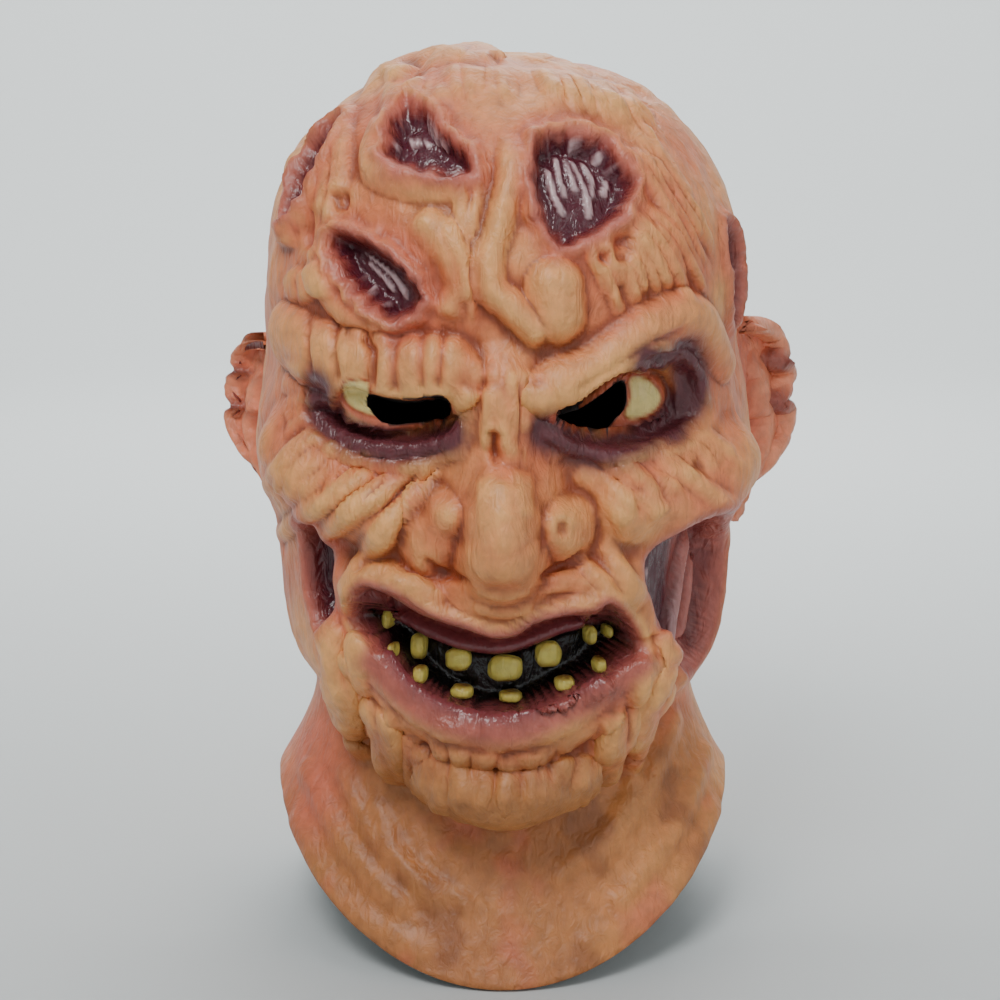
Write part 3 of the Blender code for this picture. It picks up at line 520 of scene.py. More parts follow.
# The rows of strands that cover the face, temples, jaw and chin between the large forms.
FANS = (
    Fan(((30.8, 43.0), (28.6, 45.4), (26.6, 49.0)), ((42.6, 46.0), (38.0, 50.2), (32.8, 54.0)), 12, 1.4, 2.0),
    Fan(((42.6, 45.8), (40.4, 49.4), (36.8, 53.4)), ((44.6, 46.8), (40.8, 51.2), (37.8, 56.0)), 3, 1.4, 1.8),
    Fan(((30.6, 36.8), (27.6, 36.0)), ((30.8, 42.0), (27.2, 44.5)), 5, 1.5, 1.8),
    Fan(((58.4, 46.2), (61.0, 49.0), (63.6, 51.6)), ((69.5, 43.0), (72.5, 44.5), (74.6, 47.0)), 11, 1.4, 1.6),
    Fan(((58.6, 25.2), (60.0, 28.5), (61.0, 32.0)), ((64.6, 19.9), (68.6, 24.5), (71.4, 29.5)), 9, 1.5, 2.0),
    Fan(((42.8, 20.0), (46.0, 26.5), (46.8, 33.0)), ((48.8, 17.0), (47.4, 24.0), (47.6, 34.0)), 3, 1.5, 2.2),
    Fan(((38.5, 8.0), (37.6, 12.5)), ((50.0, 6.5), (51.5, 13.0)), 6, 1.5, 2.6, 0, 0.5),
    Fan(((54.0, 7.0), (56.5, 12.5)), ((62.5, 9.0), (68.0, 15.5)), 8, 1.5, 3.0, 0, 0.5),
    Fan(((64.0, 12.0), (68.0, 18.0), (72.0, 24.5)), ((62.8, 15.5), (66.2, 21.0), (70.8, 29.0)), 5, 1.5, 2.4),
    Fan(((48.0, 36.5), (48.6, 42.0), (47.8, 47.0)), ((52.6, 36.5), (52.8, 42.0), (53.4, 47.0)), 4, 1.6, 2.2),
    Fan(((48.0, 48.0), (47.6, 55.5)), ((53.4, 47.0), (54.0, 55.0)), 3, 1.6, 1.0),
    Fan(((42.4, 75.0), (41.8, 84.4)), ((58.5, 75.0), (58.6, 84.0)), 9, 1.5, 3.2, 0, 0.1),
    Fan(((64.0, 64.0), (63.4, 71.0), (61.6, 78.0)), ((69.8, 61.0), (68.2, 66.0), (65.4, 72.5)), 4, 1.5, 3.4, 0, 0.1),
    Fan(((31.4, 61.0), (32.4, 67.0), (34.6, 73.5)), ((36.0, 64.0), (37.0, 70.5), (39.0, 78.0)), 4, 1.5, 3.4, 0, 0.1),
    Fan(((38.6, 71.0), (40.4, 80.6)), ((43.0, 75.0), (42.6, 83.6)), 3, 1.6, 3.2, 0, 0.1),
    Fan(((58.5, 75.0), (58.4, 82.6)), ((62.4, 70.6), (60.2, 79.6)), 3, 1.6, 3.2, 0, 0.1),
    Fan(((30.5, 13.5), (29.0, 19.5), (27.8, 26.5)), ((35.2, 10.5), (34.8, 16.5), (33.4, 23.0)), 5, 1.5, 2.4),
    Fan(((28.2, 27.0), (29.0, 31.5)), ((32.0, 26.6), (33.0, 31.5)), 3, 1.5, 2.2),
    Fan(((43.0, 57.4), (39.6, 57.8), (37.0, 58.4)), ((47.0, 61.4), (42.0, 58.6), (37.4, 59.4)), 3, 1.5, 1.4),
    Fan(((53.6, 59.8), (57.0, 59.0), (60.0, 59.0)), ((55.0, 57.8), (57.6, 56.8), (60.2, 58.2)), 3, 1.5, 1.4),
    Fan(((43.0, 72.2), (43.4, 75.6)), ((58.0, 71.4), (58.0, 74.8)), 10, 1.5, 0.7),
    Fan(((45.5, 64.0), (41.0, 67.0)), ((37.0, 59.5), (36.0, 62.0)), 5, 1.5, 0.9),
)

NECK_FOLDS = (
    Fold(((30.6, 77.0), (34.6, 84.5), (40.0, 90.5)), (7, 7), (2.4, 2.4), SOFT),
    Fold(((34.4, 77.5), (38.0, 84.5), (43.5, 90.0)), (6, 6), (2.6, 2.0), SOFT),
    Fold(((37.6, 80.5), (41.0, 86.5), (46.5, 90.5)), (5, 5), (2.0, 1.6), SOFT),
    Fold(((67.5, 72.0), (64.5, 79.0), (60.0, 86.0)), (7, 7), (2.4, 2.4), SOFT),
    Fold(((70.6, 75.0), (67.5, 83.0), (62.0, 90.0)), (7, 7), (2.4, 2.4), SOFT),
    Fold(((64.0, 75.5), (61.6, 81.5), (56.0, 88.0)), (5, 5), (2.2, 1.8), SOFT),
    Fold(((29.8, 82.0), (34.0, 90.0), (42.0, 95.0)), (7, 7), (1.6, 1.6), SOFT),
    Fold(((71.4, 81.0), (67.0, 89.0), (59.0, 94.5)), (7, 7), (1.6, 1.6), SOFT),
)

# The wounds: pits in the scalp, temples and cheeks with thick raised rims and bare muscle strands
# on the floor; and the open mouth, a deep closed pocket.
WOUNDS = (
    Pit(((38.9, 13.4), (39.5, 11.7), (41.2, 10.8), (42.8, 11.5), (44.1, 13.4), (46.0, 15.2),
         (47.2, 16.9), (45.6, 17.6), (41.7, 16.9), (39.1, 16.2)), 7, 0.8, 3.0),
    Pit(((33.4, 23.8), (35.2, 23.8), (38.4, 25.6), (40.6, 27.5), (41.9, 29.9), (40.8, 31.4),
         (39.1, 31.8), (36.9, 30.1), (35.0, 28.2), (33.6, 25.8)), 8, 0.8, 4.0),
    Pit(((53.6, 14.5), (54.7, 13.8), (57.5, 13.6), (60.1, 14.5), (61.6, 15.8), (62.9, 17.8),
         (62.7, 19.9), (61.2, 22.1), (58.4, 23.8), (56.4, 24.5), (55.1, 23.4), (54.0, 21.2),
         (53.5, 18.2)), 8, 0.8, 3.0),
    Pit(((49.8, 12.4), (52.4, 12.8), (54.0, 16.0), (53.8, 20.4), (52.0, 22.8), (49.2, 21.6),
         (48.2, 16.6)), 5.6, 0.8, 2.4, -60),
    Pit(((45.8, 24.4), (48.0, 23.4), (51.0, 26.2), (51.4, 31.0), (49.8, 34.2), (47.2, 33.0),
         (45.8, 28.6)), 5.6, 0.8, 2.4, 70),
)
CHEEK_HOLES = (
    Pit(((49.4, 55.4), (51.8, 54.4), (54.0, 55.4), (54.4, 59.0), (53.8, 62.6), (52.0, 65.0),
         (50.0, 63.4), (48.8, 59.6)), 10, 1.0, 1.8, -50),
    Pit(((42.6, 56.6), (45.4, 54.4), (50.0, 53.9), (55.5, 54.8), (59.6, 57.6), (60.0, 61.5),
         (59.0, 65.5), (57.0, 69.0), (54.0, 70.6), (50.4, 69.4), (47.2, 66.8), (44.8, 63.2),
         (43.0, 59.8)), 13, 1.2, 1.8, 50),
)
MOUTH = Pit(((36.1, 58.9), (39.1, 59.8), (42.2, 61.7), (46.2, 63.0), (49.3, 64.0), (51.7, 63.7),
             (53.4, 62.6), (56.4, 61.8), (59.5, 61.6), (61.0, 60.6), (62.8, 62.6), (63.4, 64.8),
             (61.2, 66.4), (60.0, 67.6), (57.3, 69.0), (54.4, 70.3), (51.7, 71.4), (48.3, 71.5),
             (44.2, 70.3), (41.1, 68.2), (38.7, 65.4), (36.6, 63.0), (35.6, 61.0)), 16, 0.9, 2.4)
NOSE_CREASES = (
    Fold(((41.8, 56.0), (44.0, 57.2), (47.4, 58.4)), (3, 3), (-2.2, -2.2)),
    Fold(((53.6, 58.0), (56.4, 56.6), (58.6, 55.0)), (3, 3), (-2.2, -2.2)),
    Fold(((45.8, 51.0), (46.2, 53.6), (46.4, 56.4)), (2.6, 2.6), (-0.6, -1.0)),
    Fold(((54.6, 50.6), (54.2, 53.4), (54.0, 56.0)), (2.6, 2.6), (-0.6, -1.0)),
    Fold(((40.8, 51.0), (40.2, 53.2), (40.8, 55.6)), (3, 3), (-0.4, -0.8)),
    Fold(((58.8, 50.8), (59.8, 52.8), (59.2, 55.0)), (3, 3), (-0.4, -0.8)),
)
SMALL_PITS = (
    Pit(((48.9, 43.5), (49.9, 43.5), (50.0, 45.8), (49.0, 46.0)), 3.0, 0.5, 0.6),
    Pit(((59.9, 25.1), (61.0, 25.1), (60.9, 26.4), (59.9, 26.4)), 2.5, 0.5, 0.3),
    Pit(((61.4, 23.8), (63.4, 23.6), (63.2, 26.0), (61.6, 26.2)), 2.5, 0.6, 0.3),
    Pit(((32.9, 19.2), (34.7, 19.2), (34.7, 21.0), (33.0, 21.0)), 3.0, 0.6, 0.5),
    Pit(((30.4, 21.0), (31.3, 21.4), (31.2, 24.4), (30.3, 24.6)), 3.5, 0.7, 0.4),
    Pit(((55.7, 52.2), (56.8, 52.2), (56.8, 53.7), (55.7, 53.7)), 2.4, 0.6, 0.4),
)
MUSCLE = (
    Fan(((39.8, 12.6), (42.0, 16.4)), ((43.0, 12.2), (46.2, 16.4)), 5, 1.3, 1.3),
    Fan(((34.8, 25.0), (36.8, 28.5), (39.2, 30.8)), ((36.0, 24.8), (39.5, 27.2), (41.0, 30.0)), 4, 1.3, 1.3),
    Fan(((54.4, 15.6), (54.8, 19.5), (57.2, 23.4)), ((58.5, 14.8), (61.6, 17.2), (60.8, 21.3)), 7, 1.3, 1.5),
    Fan(((49.4, 13.6), (49.6, 21.0)), ((53.0, 14.0), (52.8, 21.6)), 4, 1.3, 1.3, -60),
    Fan(((46.6, 25.2), (47.2, 32.0)), ((50.2, 26.0), (50.2, 32.6)), 4, 1.3, 1.3, 70),
    Fan(((43.4, 57.0), (44.4, 60.5), (47.0, 65.0)), ((47.4, 56.0), (47.6, 61.0), (49.4, 66.0)), 4, 1.4, 1.2, 50),
    Fan(((49.8, 56.5), (50.4, 63.0)), ((53.6, 56.5), (53.2, 63.0)), 3, 1.3, 1.6, -50),
)
SINEWS = (
    Fold(((55.4, 54.8), (53.6, 57.6), (52.2, 61.6), (51.6, 65.6), (52.0, 69.0)), (3.0, 4.0), (4, 5.4), 1.2, 50, 0.25),
    Fold(((58.2, 57.0), (57.0, 60.4), (56.0, 64.0), (54.6, 68.4)), (3.4, 4.4), (3, 4.6), 1.2, 50, 0.25),
    Fold(((46.0, 55.6), (45.2, 58.0), (46.2, 61.6), (48.0, 65.6)), (2.0, 2.4), (2, 3), 1.2, 50, 0.1),
)
GUMS = (
    Fold(((37.6, 59.6), (40.0, 61.0), (44.0, 63.2), (48.0, 64.4), (51.5, 64.2), (55.5, 62.6), (59.5, 61.4)),
         (4, 4), (6, 6)),
    Fold(((38.4, 66.0), (41.0, 69.2), (45.0, 71.4), (50.0, 72.4), (55.5, 71.2), (60.3, 68.6)), (4, 4), (5, 5)),
)

EYE_HOLES = (
    ((36.8, 39.5), (39.0, 39.9), (41.0, 40.2), (43.1, 39.9), (44.6, 40.1), (44.9, 41.2),
     (44.5, 41.8), (42.5, 42.1), (39.9, 42.5), (38.1, 42.2), (37.0, 41.0)),
    ((55.6, 41.7), (57.8, 41.0), (60.1, 39.5), (62.1, 38.1), (62.6, 39.5), (62.3, 41.0),
     (61.2, 42.2), (60.3, 42.9), (57.8, 42.5)),
)
EYE_CUT_FRONT = 0.022
EYE_CUT_BACK = 0.050
EYE_ROOM = 5
WOUND_FRAY = 0.6
UNPAINTED = 0.95
EYEBALL_BULGE = 0.0015


def lumpy(points, size):
    """Smooth random values from -1 to 1 over points, one lump about every size metres."""
    flat = (points / size).reshape(-1, 3)
    return np.array([noise.noise(place) for place in flat.tolist()]).reshape(points.shape[:2])


skin = Casting(320, 260, face_detail=3.0)
skin.press_pits(SOCKETS)
skin.raise_folds(BROWS)
skin.raise_folds([groove._replace(taper=0.2) for groove in BROW_GROOVES])
skin.raise_folds(CHEEKS_AND_JAW)
skin.raise_folds(NOSE, forward=True)
skin.raise_folds([EGG] + [rope._replace(taper=0.12) for rope in ROPES])
for eyeball in EYEBALLS:
    skin.set_eyeball(eyeball)
skin.raise_folds([lid._replace(taper=0.1) for lid in LIDS])
skin.raise_folds([crease._replace(taper=0.25, edge=SOFT) for crease in NOSE_CREASES])
WOUNDS = tuple(wound._replace(ragged=WOUND_FRAY) for wound in WOUNDS)
openings = WOUNDS + CHEEK_HOLES + (MOUTH,)
off_openings = np.ones(skin.points.shape[:2])
for pit in openings + SOCKETS:
    off_openings *= eased((-skin.depth_inside(pit) - 0.1) / 0.8)
off_lumps = (1 - skin.close_to(FOREHEAD_ROPE.course, 9)) * (1 - skin.close_to(EGG.course, 16))
off_lumps *= 1 - skin.close_to(BROWS[0].course, 18)
for wing in NOSE[-2:]:
    off_lumps *= 1 - skin.close_to(wing.course, 14)
skin.lay_fans(FANS, where=off_openings * off_lumps, seed=4)
wrinkles = [fan._replace(count=2 * fan.count, height=0.4 * fan.height) for fan in FANS]
skin.lay_fans(wrinkles, where=off_openings * (0.3 + 0.7 * off_lumps), seed=9)
skin.raise_folds(NECK_FOLDS)
head_share = eased((NECK_END - 0.006 - (WALL - skin.points[..., 2])) / 0.02)
stretched = skin.points * np.array((1.0, 1.0, 0.42))
strands = 1 - 2 * np.abs(lumpy(stretched, 0.016))
away_from_face = eased((np.abs(skin.turns) - 0.9) / 0.5) + eased((skin.points[..., 2] + 0.025) / 0.02)
relief = 1.1 * MM * lumpy(skin.points, 0.022) * (0.4 + 0.6 * head_share)
relief += 0.35 * MM * lumpy(skin.points, 0.007)
relief += 1.5 * MM * strands * head_share * np.clip(0.25 + away_from_face, 0, 1)
skin.points = skin.points + skin.normals() * (relief * (0.15 + 0.85 * off_openings))[..., None]
skin.look()
skin.press_pits(WOUNDS)
skin.press_pits(CHEEK_HOLES)
skin.press_pits((MOUTH,))
skin.press_pits(SMALL_PITS)
skin.lay_fans(MUSCLE, seed=2)
skin.raise_folds(SINEWS)
skin.raise_folds(GUMS)

# The paint. The real mask is brushed in layers: flesh, an orange wash that settles in the grooves,
# dry-brushed yellow on the ridges, plum round the eyes, purple wounds and a black mouth.


def tint(red, green, blue):
    """A colour as it is seen on a screen, as the light it reflects."""
    seen = np.array((red, green, blue)) / 255
    return np.where(seen <= 0.04045, seen / 12.92, ((seen + 0.055) / 1.055) ** 2.4)


FLESH = tint(210, 116, 72)
PALE = tint(230, 164, 98)
PINK = tint(200, 98, 72)
ORANGE = tint(160, 62, 22)
BROWN = tint(88, 32, 16)
PLUM = tint(96, 44, 50)
PURPLE = tint(82, 30, 42)
DEEP_RED = tint(110, 34, 34)
STRAND_HIGHLIGHT = tint(206, 176, 178)
LIP = tint(184, 98, 84)
BLACK = tint(14, 10, 10)
MAUVE = tint(122, 58, 62)
EYE_YELLOW = tint(226, 202, 128)
# Dark brown for the inside of the mask and the cut edges of the eye holes: painted shade.
INSIDE_PAINTED_SHADE = tint(30, 20, 18)
NECK_TAN = tint(204, 136, 76)
TAN_AND_PAINTED_SHADE = tint(118, 62, 28)


class Paint:
    """The colour and gloss of every point of the casting."""

    def __init__(self, color, shape):
        self.color = np.tile(color, shape + (1,))
        self.gloss = np.full(shape, 0.25)

    def brush(self, color, amount, gloss=None):
        """Lays a colour over the skin where amount is above 0."""
        amount = np.clip(amount, 0, 1)
        self.color = self.color + (color - self.color) * amount[..., None]
        if gloss is not None:
            self.gloss = self.gloss + (gloss - self.gloss) * amount


paint = Paint(FLESH, skin.points.shape[:2])
normals = skin.normals()
patches = lumpy(skin.points + 1.0, 0.030)
spots = lumpy(skin.points + 2.0, 0.009)
smooth_form = np.stack([blurred(skin.points[..., axis], 14) for axis in range(3)], axis=-1)
rise = ((skin.points - smooth_form) * normals).sum(axis=-1)
fine_form = np.stack([blurred(skin.points[..., axis], 4) for axis in range(3)], axis=-1)
fine_rise = ((skin.points - fine_form) * normals).sum(axis=-1)
paint.brush(PALE, 0.25 + 0.9 * patches)
paint.brush(PINK, 0.9 * lumpy(skin.points + 3.0, 0.024) + 0.15 * spots)
paint.brush(PALE, 0.55 * rise / (1.2 * MM))
paint.brush(ORANGE, np.minimum(-0.6 * (rise + 0.2 * MM) / (1.2 * MM), 0.75))
paint.brush(BROWN, np.minimum(-0.6 * (fine_rise + 0.12 * MM) / (0.5 * MM), 0.5))

chart_columns, chart_rows, chart_far = on_chart(skin.points)
on_front = (chart_far < CHART_DISTANCE) * 1.0
# Darker orange towards the chin: partly the orange paint, partly painted shadow under the jaw.
paint.brush(ORANGE, 0.25 * on_front * eased((chart_rows - 71) / 8), 0.25)
paint.brush(ORANGE, 0.22 * on_front * np.exp(-(((chart_rows - 58.5) / 3.2) ** 2)), 0.25)

neck_share = eased(((WALL - skin.points[..., 2]) - NECK_END) / 0.02)
paint.brush(NECK_TAN, 0.75 * neck_share)
# Darker tan over the chin and lower face, more on the left: partly tan paint, partly painted shadow.
shaded_side = 1 - 0.65 * eased((chart_columns - 55) / 8)
paint.brush(TAN_AND_PAINTED_SHADE, 0.42 * eased((chart_rows - 69) / 8) * on_front * shaded_side)
smudges = lumpy(skin.points * np.array((1, 1, 0.6)) + 5.0, 0.026) + 0.5 * lumpy(skin.points + 6.0, 0.009)
paint.brush(BROWN, neck_share * np.clip(1.1 * smudges - 0.3, 0, 0.4))
paint.brush(PINK, neck_share * np.clip(-1.2 * smudges - 0.3, 0, 0.5))
paint.brush(PINK, 0.8 * skin.close_to(((28.5, 73.0), (32.5, 74.5), (31.0, 80.0)), 30))

for course in (((45.0, 43.5), (39.0, 44.6), (33.5, 42.4), (32.0, 38.6)), ((54.8, 43.2), (60.0, 44.9), (66.5, 43.0)),
               ((66.5, 42.6), (69.0, 39.5), (68.5, 35.6), (64.6, 36.2))):
    paint.brush(PLUM, 1.5 * skin.close_to(course, 13), 0.6)
for eyeball in EYEBALLS:
    paint.brush(PINK, 0.8 * eased(skin.depth_inside(Pit(eyeball.outline, 0, 1, 0)) / 0.4 + 0.5), 0.6)
    white = skin.depth_inside(Pit(eyeball.white, 0, 1, 0))
    paint.brush(ORANGE, eased(white / 0.3 + 1.2), 0.6)
    paint.brush(EYE_YELLOW, eased((white + 0.1) / 0.4), 0.8)

for pit in WOUNDS + CHEEK_HOLES:
    deep = skin.depth_inside(pit)
    paint.brush(PINK, 0.7 * eased((deep + 3.2) / 2.4))
    paint.brush(LIP, 0.9 * eased((deep + 1.7) / 1.4), 0.4)
    paint.brush(DEEP_RED, eased((deep + 0.45) / 0.8), 0.7)
    paint.brush(PURPLE, eased((deep - 0.15) / 0.6), 0.9)
    # Pale pink-white on the tops of the strands in the wounds: painted highlight along the wet strands.
    paint.brush(STRAND_HIGHLIGHT, eased((deep - 0.3) / 0.5) * np.clip(1.2 * fine_rise / (0.35 * MM) - 0.25, 0, 0.8), 0.9)
cheek_columns, cheek_rows, cheek_far = on_chart(skin.points, math.radians(CHEEK_HOLES[1].turn))
back_of_cheek = eased((skin.depth_inside(CHEEK_HOLES[1]) + 0.4) / 0.6) * eased((cheek_columns - 50.0) / 3.5)
paint.brush(LIP, 0.85 * back_of_cheek, 0.5)
paint.brush(DEEP_RED, back_of_cheek * np.clip(-1.2 * fine_rise / (0.4 * MM), 0, 0.8), 0.6)

deep = skin.depth_inside(MOUTH)
below = eased((chart_rows - 64) / 3)
paint.brush(LIP, 0.95 * eased((deep + 1.4 + 2.6 * below) / (1.0 + 1.0 * below)), 0.55)
paint.brush(DEEP_RED, 0.32 * below * eased((deep + 4.0) / 2.0), 0.55)
paint.brush(MAUVE, 0.9 * eased((deep + 0.6 + 1.2 * below) / (0.9 + 0.8 * below)), 0.8)
paint.brush(BLACK, eased((deep - 0.5) / 0.6), 0.95)
for gum in GUMS:
    paint.brush(MAUVE, 2.4 * skin.close_to(gum.course, 7) * eased((deep + 0.2) / 0.5), 0.95)


# The latex itself: the outer skin, an inner wall that follows the large forms only, and the hem
# between them. The eye holes are cut through both, along the line of sight.
def grid_verts(bm, points, color, gloss):
    """Adds a grid of points to the latex, rolled into a tube whose top is closed at the crown."""
    rows, columns = points.shape[0] - 1, points.shape[1] - 1
    paint_layer = bm.verts.layers.float_color["paint"]
    gloss_layer = bm.verts.layers.float["gloss"]
    made = bmesh.ops.create_grid(bm, x_segments=columns, y_segments=rows, size=1)
    for vert in made["verts"]:
        column = round((vert.co.x + 1) / 2 * columns)
        row = round((vert.co.y + 1) / 2 * rows)
        vert.co = points[row, column]
        vert[paint_layer] = (*color[row, column], 1)
        vert[gloss_layer] = gloss[row, column]


cavity = Casting(96, 84, face_detail=2.0)
cavity.points = cavity.points - cavity.plain_normals * WALL
cavity.raise_folds(NOSE, forward=True, scale=0.5)
cavity.press_pits([socket._replace(depth=socket.depth + EYE_ROOM) for socket in SOCKETS], margin=1.2)
cavity.press_pits(openings, margin=1.2)
latex = bmesh.new()
latex.verts.layers.float_color.new("paint")
latex.verts.layers.float.new("gloss")
grid_verts(latex, skin.points, paint.color, paint.gloss)
# The inner wall is coloured dark all over: painted shade for the dim inside of the mask. The real inside is plain
# flesh-coloured latex.
painted_shade_lining = Paint(INSIDE_PAINTED_SHADE, cavity.points.shape[:2])
grid_verts(latex, cavity.points, painted_shade_lining.color, painted_shade_lining.gloss)
bmesh.ops.remove_doubles(latex, verts=latex.verts, dist=1e-6)
bmesh.ops.bridge_loops(latex, edges=[edge for edge in latex.edges if edge.is_boundary])
bmesh.ops.recalc_face_normals(latex, faces=latex.faces)
if latex.calc_volume(signed=True) < 0:
    bmesh.ops.reverse_faces(latex, faces=latex.faces)
for face in latex.faces:
    face.smooth = True
skin_mesh = bpy.data.meshes.new("latex_skin")
latex.to_mesh(skin_mesh)
latex.free()
mask = bpy.data.objects.new("latex_skin", skin_mesh)
bpy.context.scene.collection.objects.link(mask)

for number, outline in enumerate(EYE_HOLES):
    sight = np.array((0.0, math.cos(CHART_TILT), -math.sin(CHART_TILT)))
    loop = skin.under(curve_through(outline, closed=True, steps=3))
    cutter = bmesh.new()
    near = [cutter.verts.new(place - sight * EYE_CUT_FRONT) for place in loop]
    cap = cutter.faces.new(near)
    made = bmesh.ops.extrude_face_region(cutter, geom=[cap])
    far = [item for item in made["geom"] if isinstance(item, bmesh.types.BMVert)]
    bmesh.ops.translate(cutter, verts=far, vec=Vector(sight * (EYE_CUT_FRONT + EYE_CUT_BACK)))
    bmesh.ops.recalc_face_normals(cutter, faces=cutter.faces)
    if cutter.calc_volume(signed=True) < 0:
        bmesh.ops.reverse_faces(cutter, faces=cutter.faces)
    cutter_mesh = bpy.data.meshes.new(f"eye_cutter_{number}")
    cutter.to_mesh(cutter_mesh)
    cutter.free()
    tool = bpy.data.objects.new(f"eye_cutter_{number}", cutter_mesh)
    bpy.context.scene.collection.objects.link(tool)
    cut = mask.modifiers.new("eye_hole", "BOOLEAN")
    cut.operation = "DIFFERENCE"
    cut.solver = "MANIFOLD"
    cut.object = tool
graph = bpy.context.evaluated_depsgraph_get()
cut_mesh = bpy.data.meshes.new_from_object(mask.evaluated_get(graph))
rims = bmesh.new()
rims.from_mesh(cut_mesh)
rim_paint = rims.verts.layers.float_color["paint"]
rim_gloss = rims.verts.layers.float["gloss"]
# The cut faces of the eye holes, left unpainted by the cut, take the dark inside colour with no gloss: painted shade
# round the holes.
for vert in rims.verts:
    if min(vert[rim_paint][:3]) > UNPAINTED:
        vert[rim_paint] = (*INSIDE_PAINTED_SHADE, 1)
        vert[rim_gloss] = 0
        for edge in vert.link_edges:
            edge.smooth = False
rims.to_mesh(cut_mesh)
rims.free()
mask.modifiers.clear()
mask.data = cut_mesh
for number in range(len(EYE_HOLES)):
    bpy.data.objects.remove(bpy.data.objects[f"eye_cutter_{number}"])


def painted_latex(name, coat):
    """Satin latex whose colour and gloss were brushed on, with pores and fine wrinkles."""
    material = bpy.data.materials.new(name)
    material.use_nodes = True
    nodes = material.node_tree.nodes
    links = material.node_tree.links
    shader = nodes["Principled BSDF"]
    shader.inputs["Metallic"].default_value = 0
    shader.inputs["Coat Weight"].default_value = coat
    shader.inputs["Coat Roughness"].default_value = 0.25
    shader.inputs["Subsurface Weight"].default_value = 0.12
    shader.inputs["Subsurface Radius"].default_value = (0.004, 0.0015, 0.0008)
    color = nodes.new("ShaderNodeAttribute")
    color.attribute_name = "paint"
    gloss = nodes.new("ShaderNodeAttribute")
    gloss.attribute_name = "gloss"
    place = nodes.new("ShaderNodeTexCoord")
    mottle = nodes.new("ShaderNodeTexNoise")
    mottle.inputs["Scale"].default_value = 210
    mottle.inputs["Detail"].default_value = 6
    links.new(place.outputs["Object"], mottle.inputs["Vector"])
    shade = nodes.new("ShaderNodeMapRange")
    shade.inputs["From Min"].default_value = 0.3
    shade.inputs["From Max"].default_value = 0.7
    shade.inputs["To Min"].default_value = 0.84
    shade.inputs["To Max"].default_value = 1.12
    links.new(mottle.outputs["Fac"], shade.inputs["Value"])
    mixed = nodes.new("ShaderNodeVectorMath")
    mixed.operation = "SCALE"
    links.new(color.outputs["Color"], mixed.inputs[0])
    links.new(shade.outputs["Result"], mixed.inputs["Scale"])
    links.new(mixed.outputs["Vector"], shader.inputs["Base Color"])
    rough = nodes.new("ShaderNodeMapRange")
    rough.inputs["To Min"].default_value = 0.62
    rough.inputs["To Max"].default_value = 0.16
    links.new(gloss.outputs["Fac"], rough.inputs["Value"])
    links.new(rough.outputs["Result"], shader.inputs["Roughness"])
    pores = nodes.new("ShaderNodeTexNoise")
    pores.inputs["Scale"].default_value = 620
    pores.inputs["Detail"].default_value = 5
    links.new(place.outputs["Object"], pores.inputs["Vector"])
    hanging = nodes.new("ShaderNodeVectorMath")
    hanging.operation = "MULTIPLY"
    hanging.inputs[1].default_value = (1.0, 1.0, 0.4)
    links.new(place.outputs["Object"], hanging.inputs[0])
    creases = nodes.new("ShaderNodeTexNoise")
    creases.inputs["Scale"].default_value = 230
    creases.inputs["Detail"].default_value = 3
    creases.inputs["Distortion"].default_value = 0.8
    links.new(hanging.outputs["Vector"], creases.inputs["Vector"])
    wrinkled = nodes.new("ShaderNodeBump")
    wrinkled.inputs["Strength"].default_value = 0.55
    wrinkled.inputs["Distance"].default_value = 0.003
    links.new(creases.outputs["Fac"], wrinkled.inputs["Height"])
    bump = nodes.new("ShaderNodeBump")
    bump.inputs["Strength"].default_value = 0.35
    bump.inputs["Distance"].default_value = 0.0006
    links.new(pores.outputs["Fac"], bump.inputs["Height"])
    links.new(wrinkled.outputs["Normal"], bump.inputs["Normal"])
    links.new(bump.outputs["Normal"], shader.inputs["Normal"])
    return material


latex_paint = painted_latex("painted_latex", coat=0.08)
mask.data.materials.clear()
mask.data.materials.append(latex_paint)
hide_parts("mask_skin")
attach(mask, "root")

# The ears: thin cupped sheets of latex with ragged, burnt edges, cast in one with the head.
EAR_HEIGHT = 0.078
EAR_REACH = 0.046
EAR_DROP = 0.142
EAR_THICKNESS = 0.0035
EAR_OUTLINE = (
    (0.0, 0.20), (0.08, 0.36), (0.30, 0.62), (0.42, 0.86), (0.50, 0.90), (0.56, 0.74), (0.60, 0.86),
    (0.68, 1.0), (0.735, 0.98), (0.77, 0.80), (0.82, 0.94), (0.90, 0.88), (0.95, 0.70), (0.98, 0.46),
    (1.0, 0.10),
)
EAR_NOTCHES = (0.56, 0.77)
EAR_ROOT_ANGLE = math.radians(79)
EAR_RIM_ANGLE = math.radians(58)
LEFT_EAR_SHARE = 0.84
EAR_FLESH = tint(232, 142, 104)
EAR_RED = tint(204, 88, 54)
EAR_EDGE = tint(120, 46, 46)

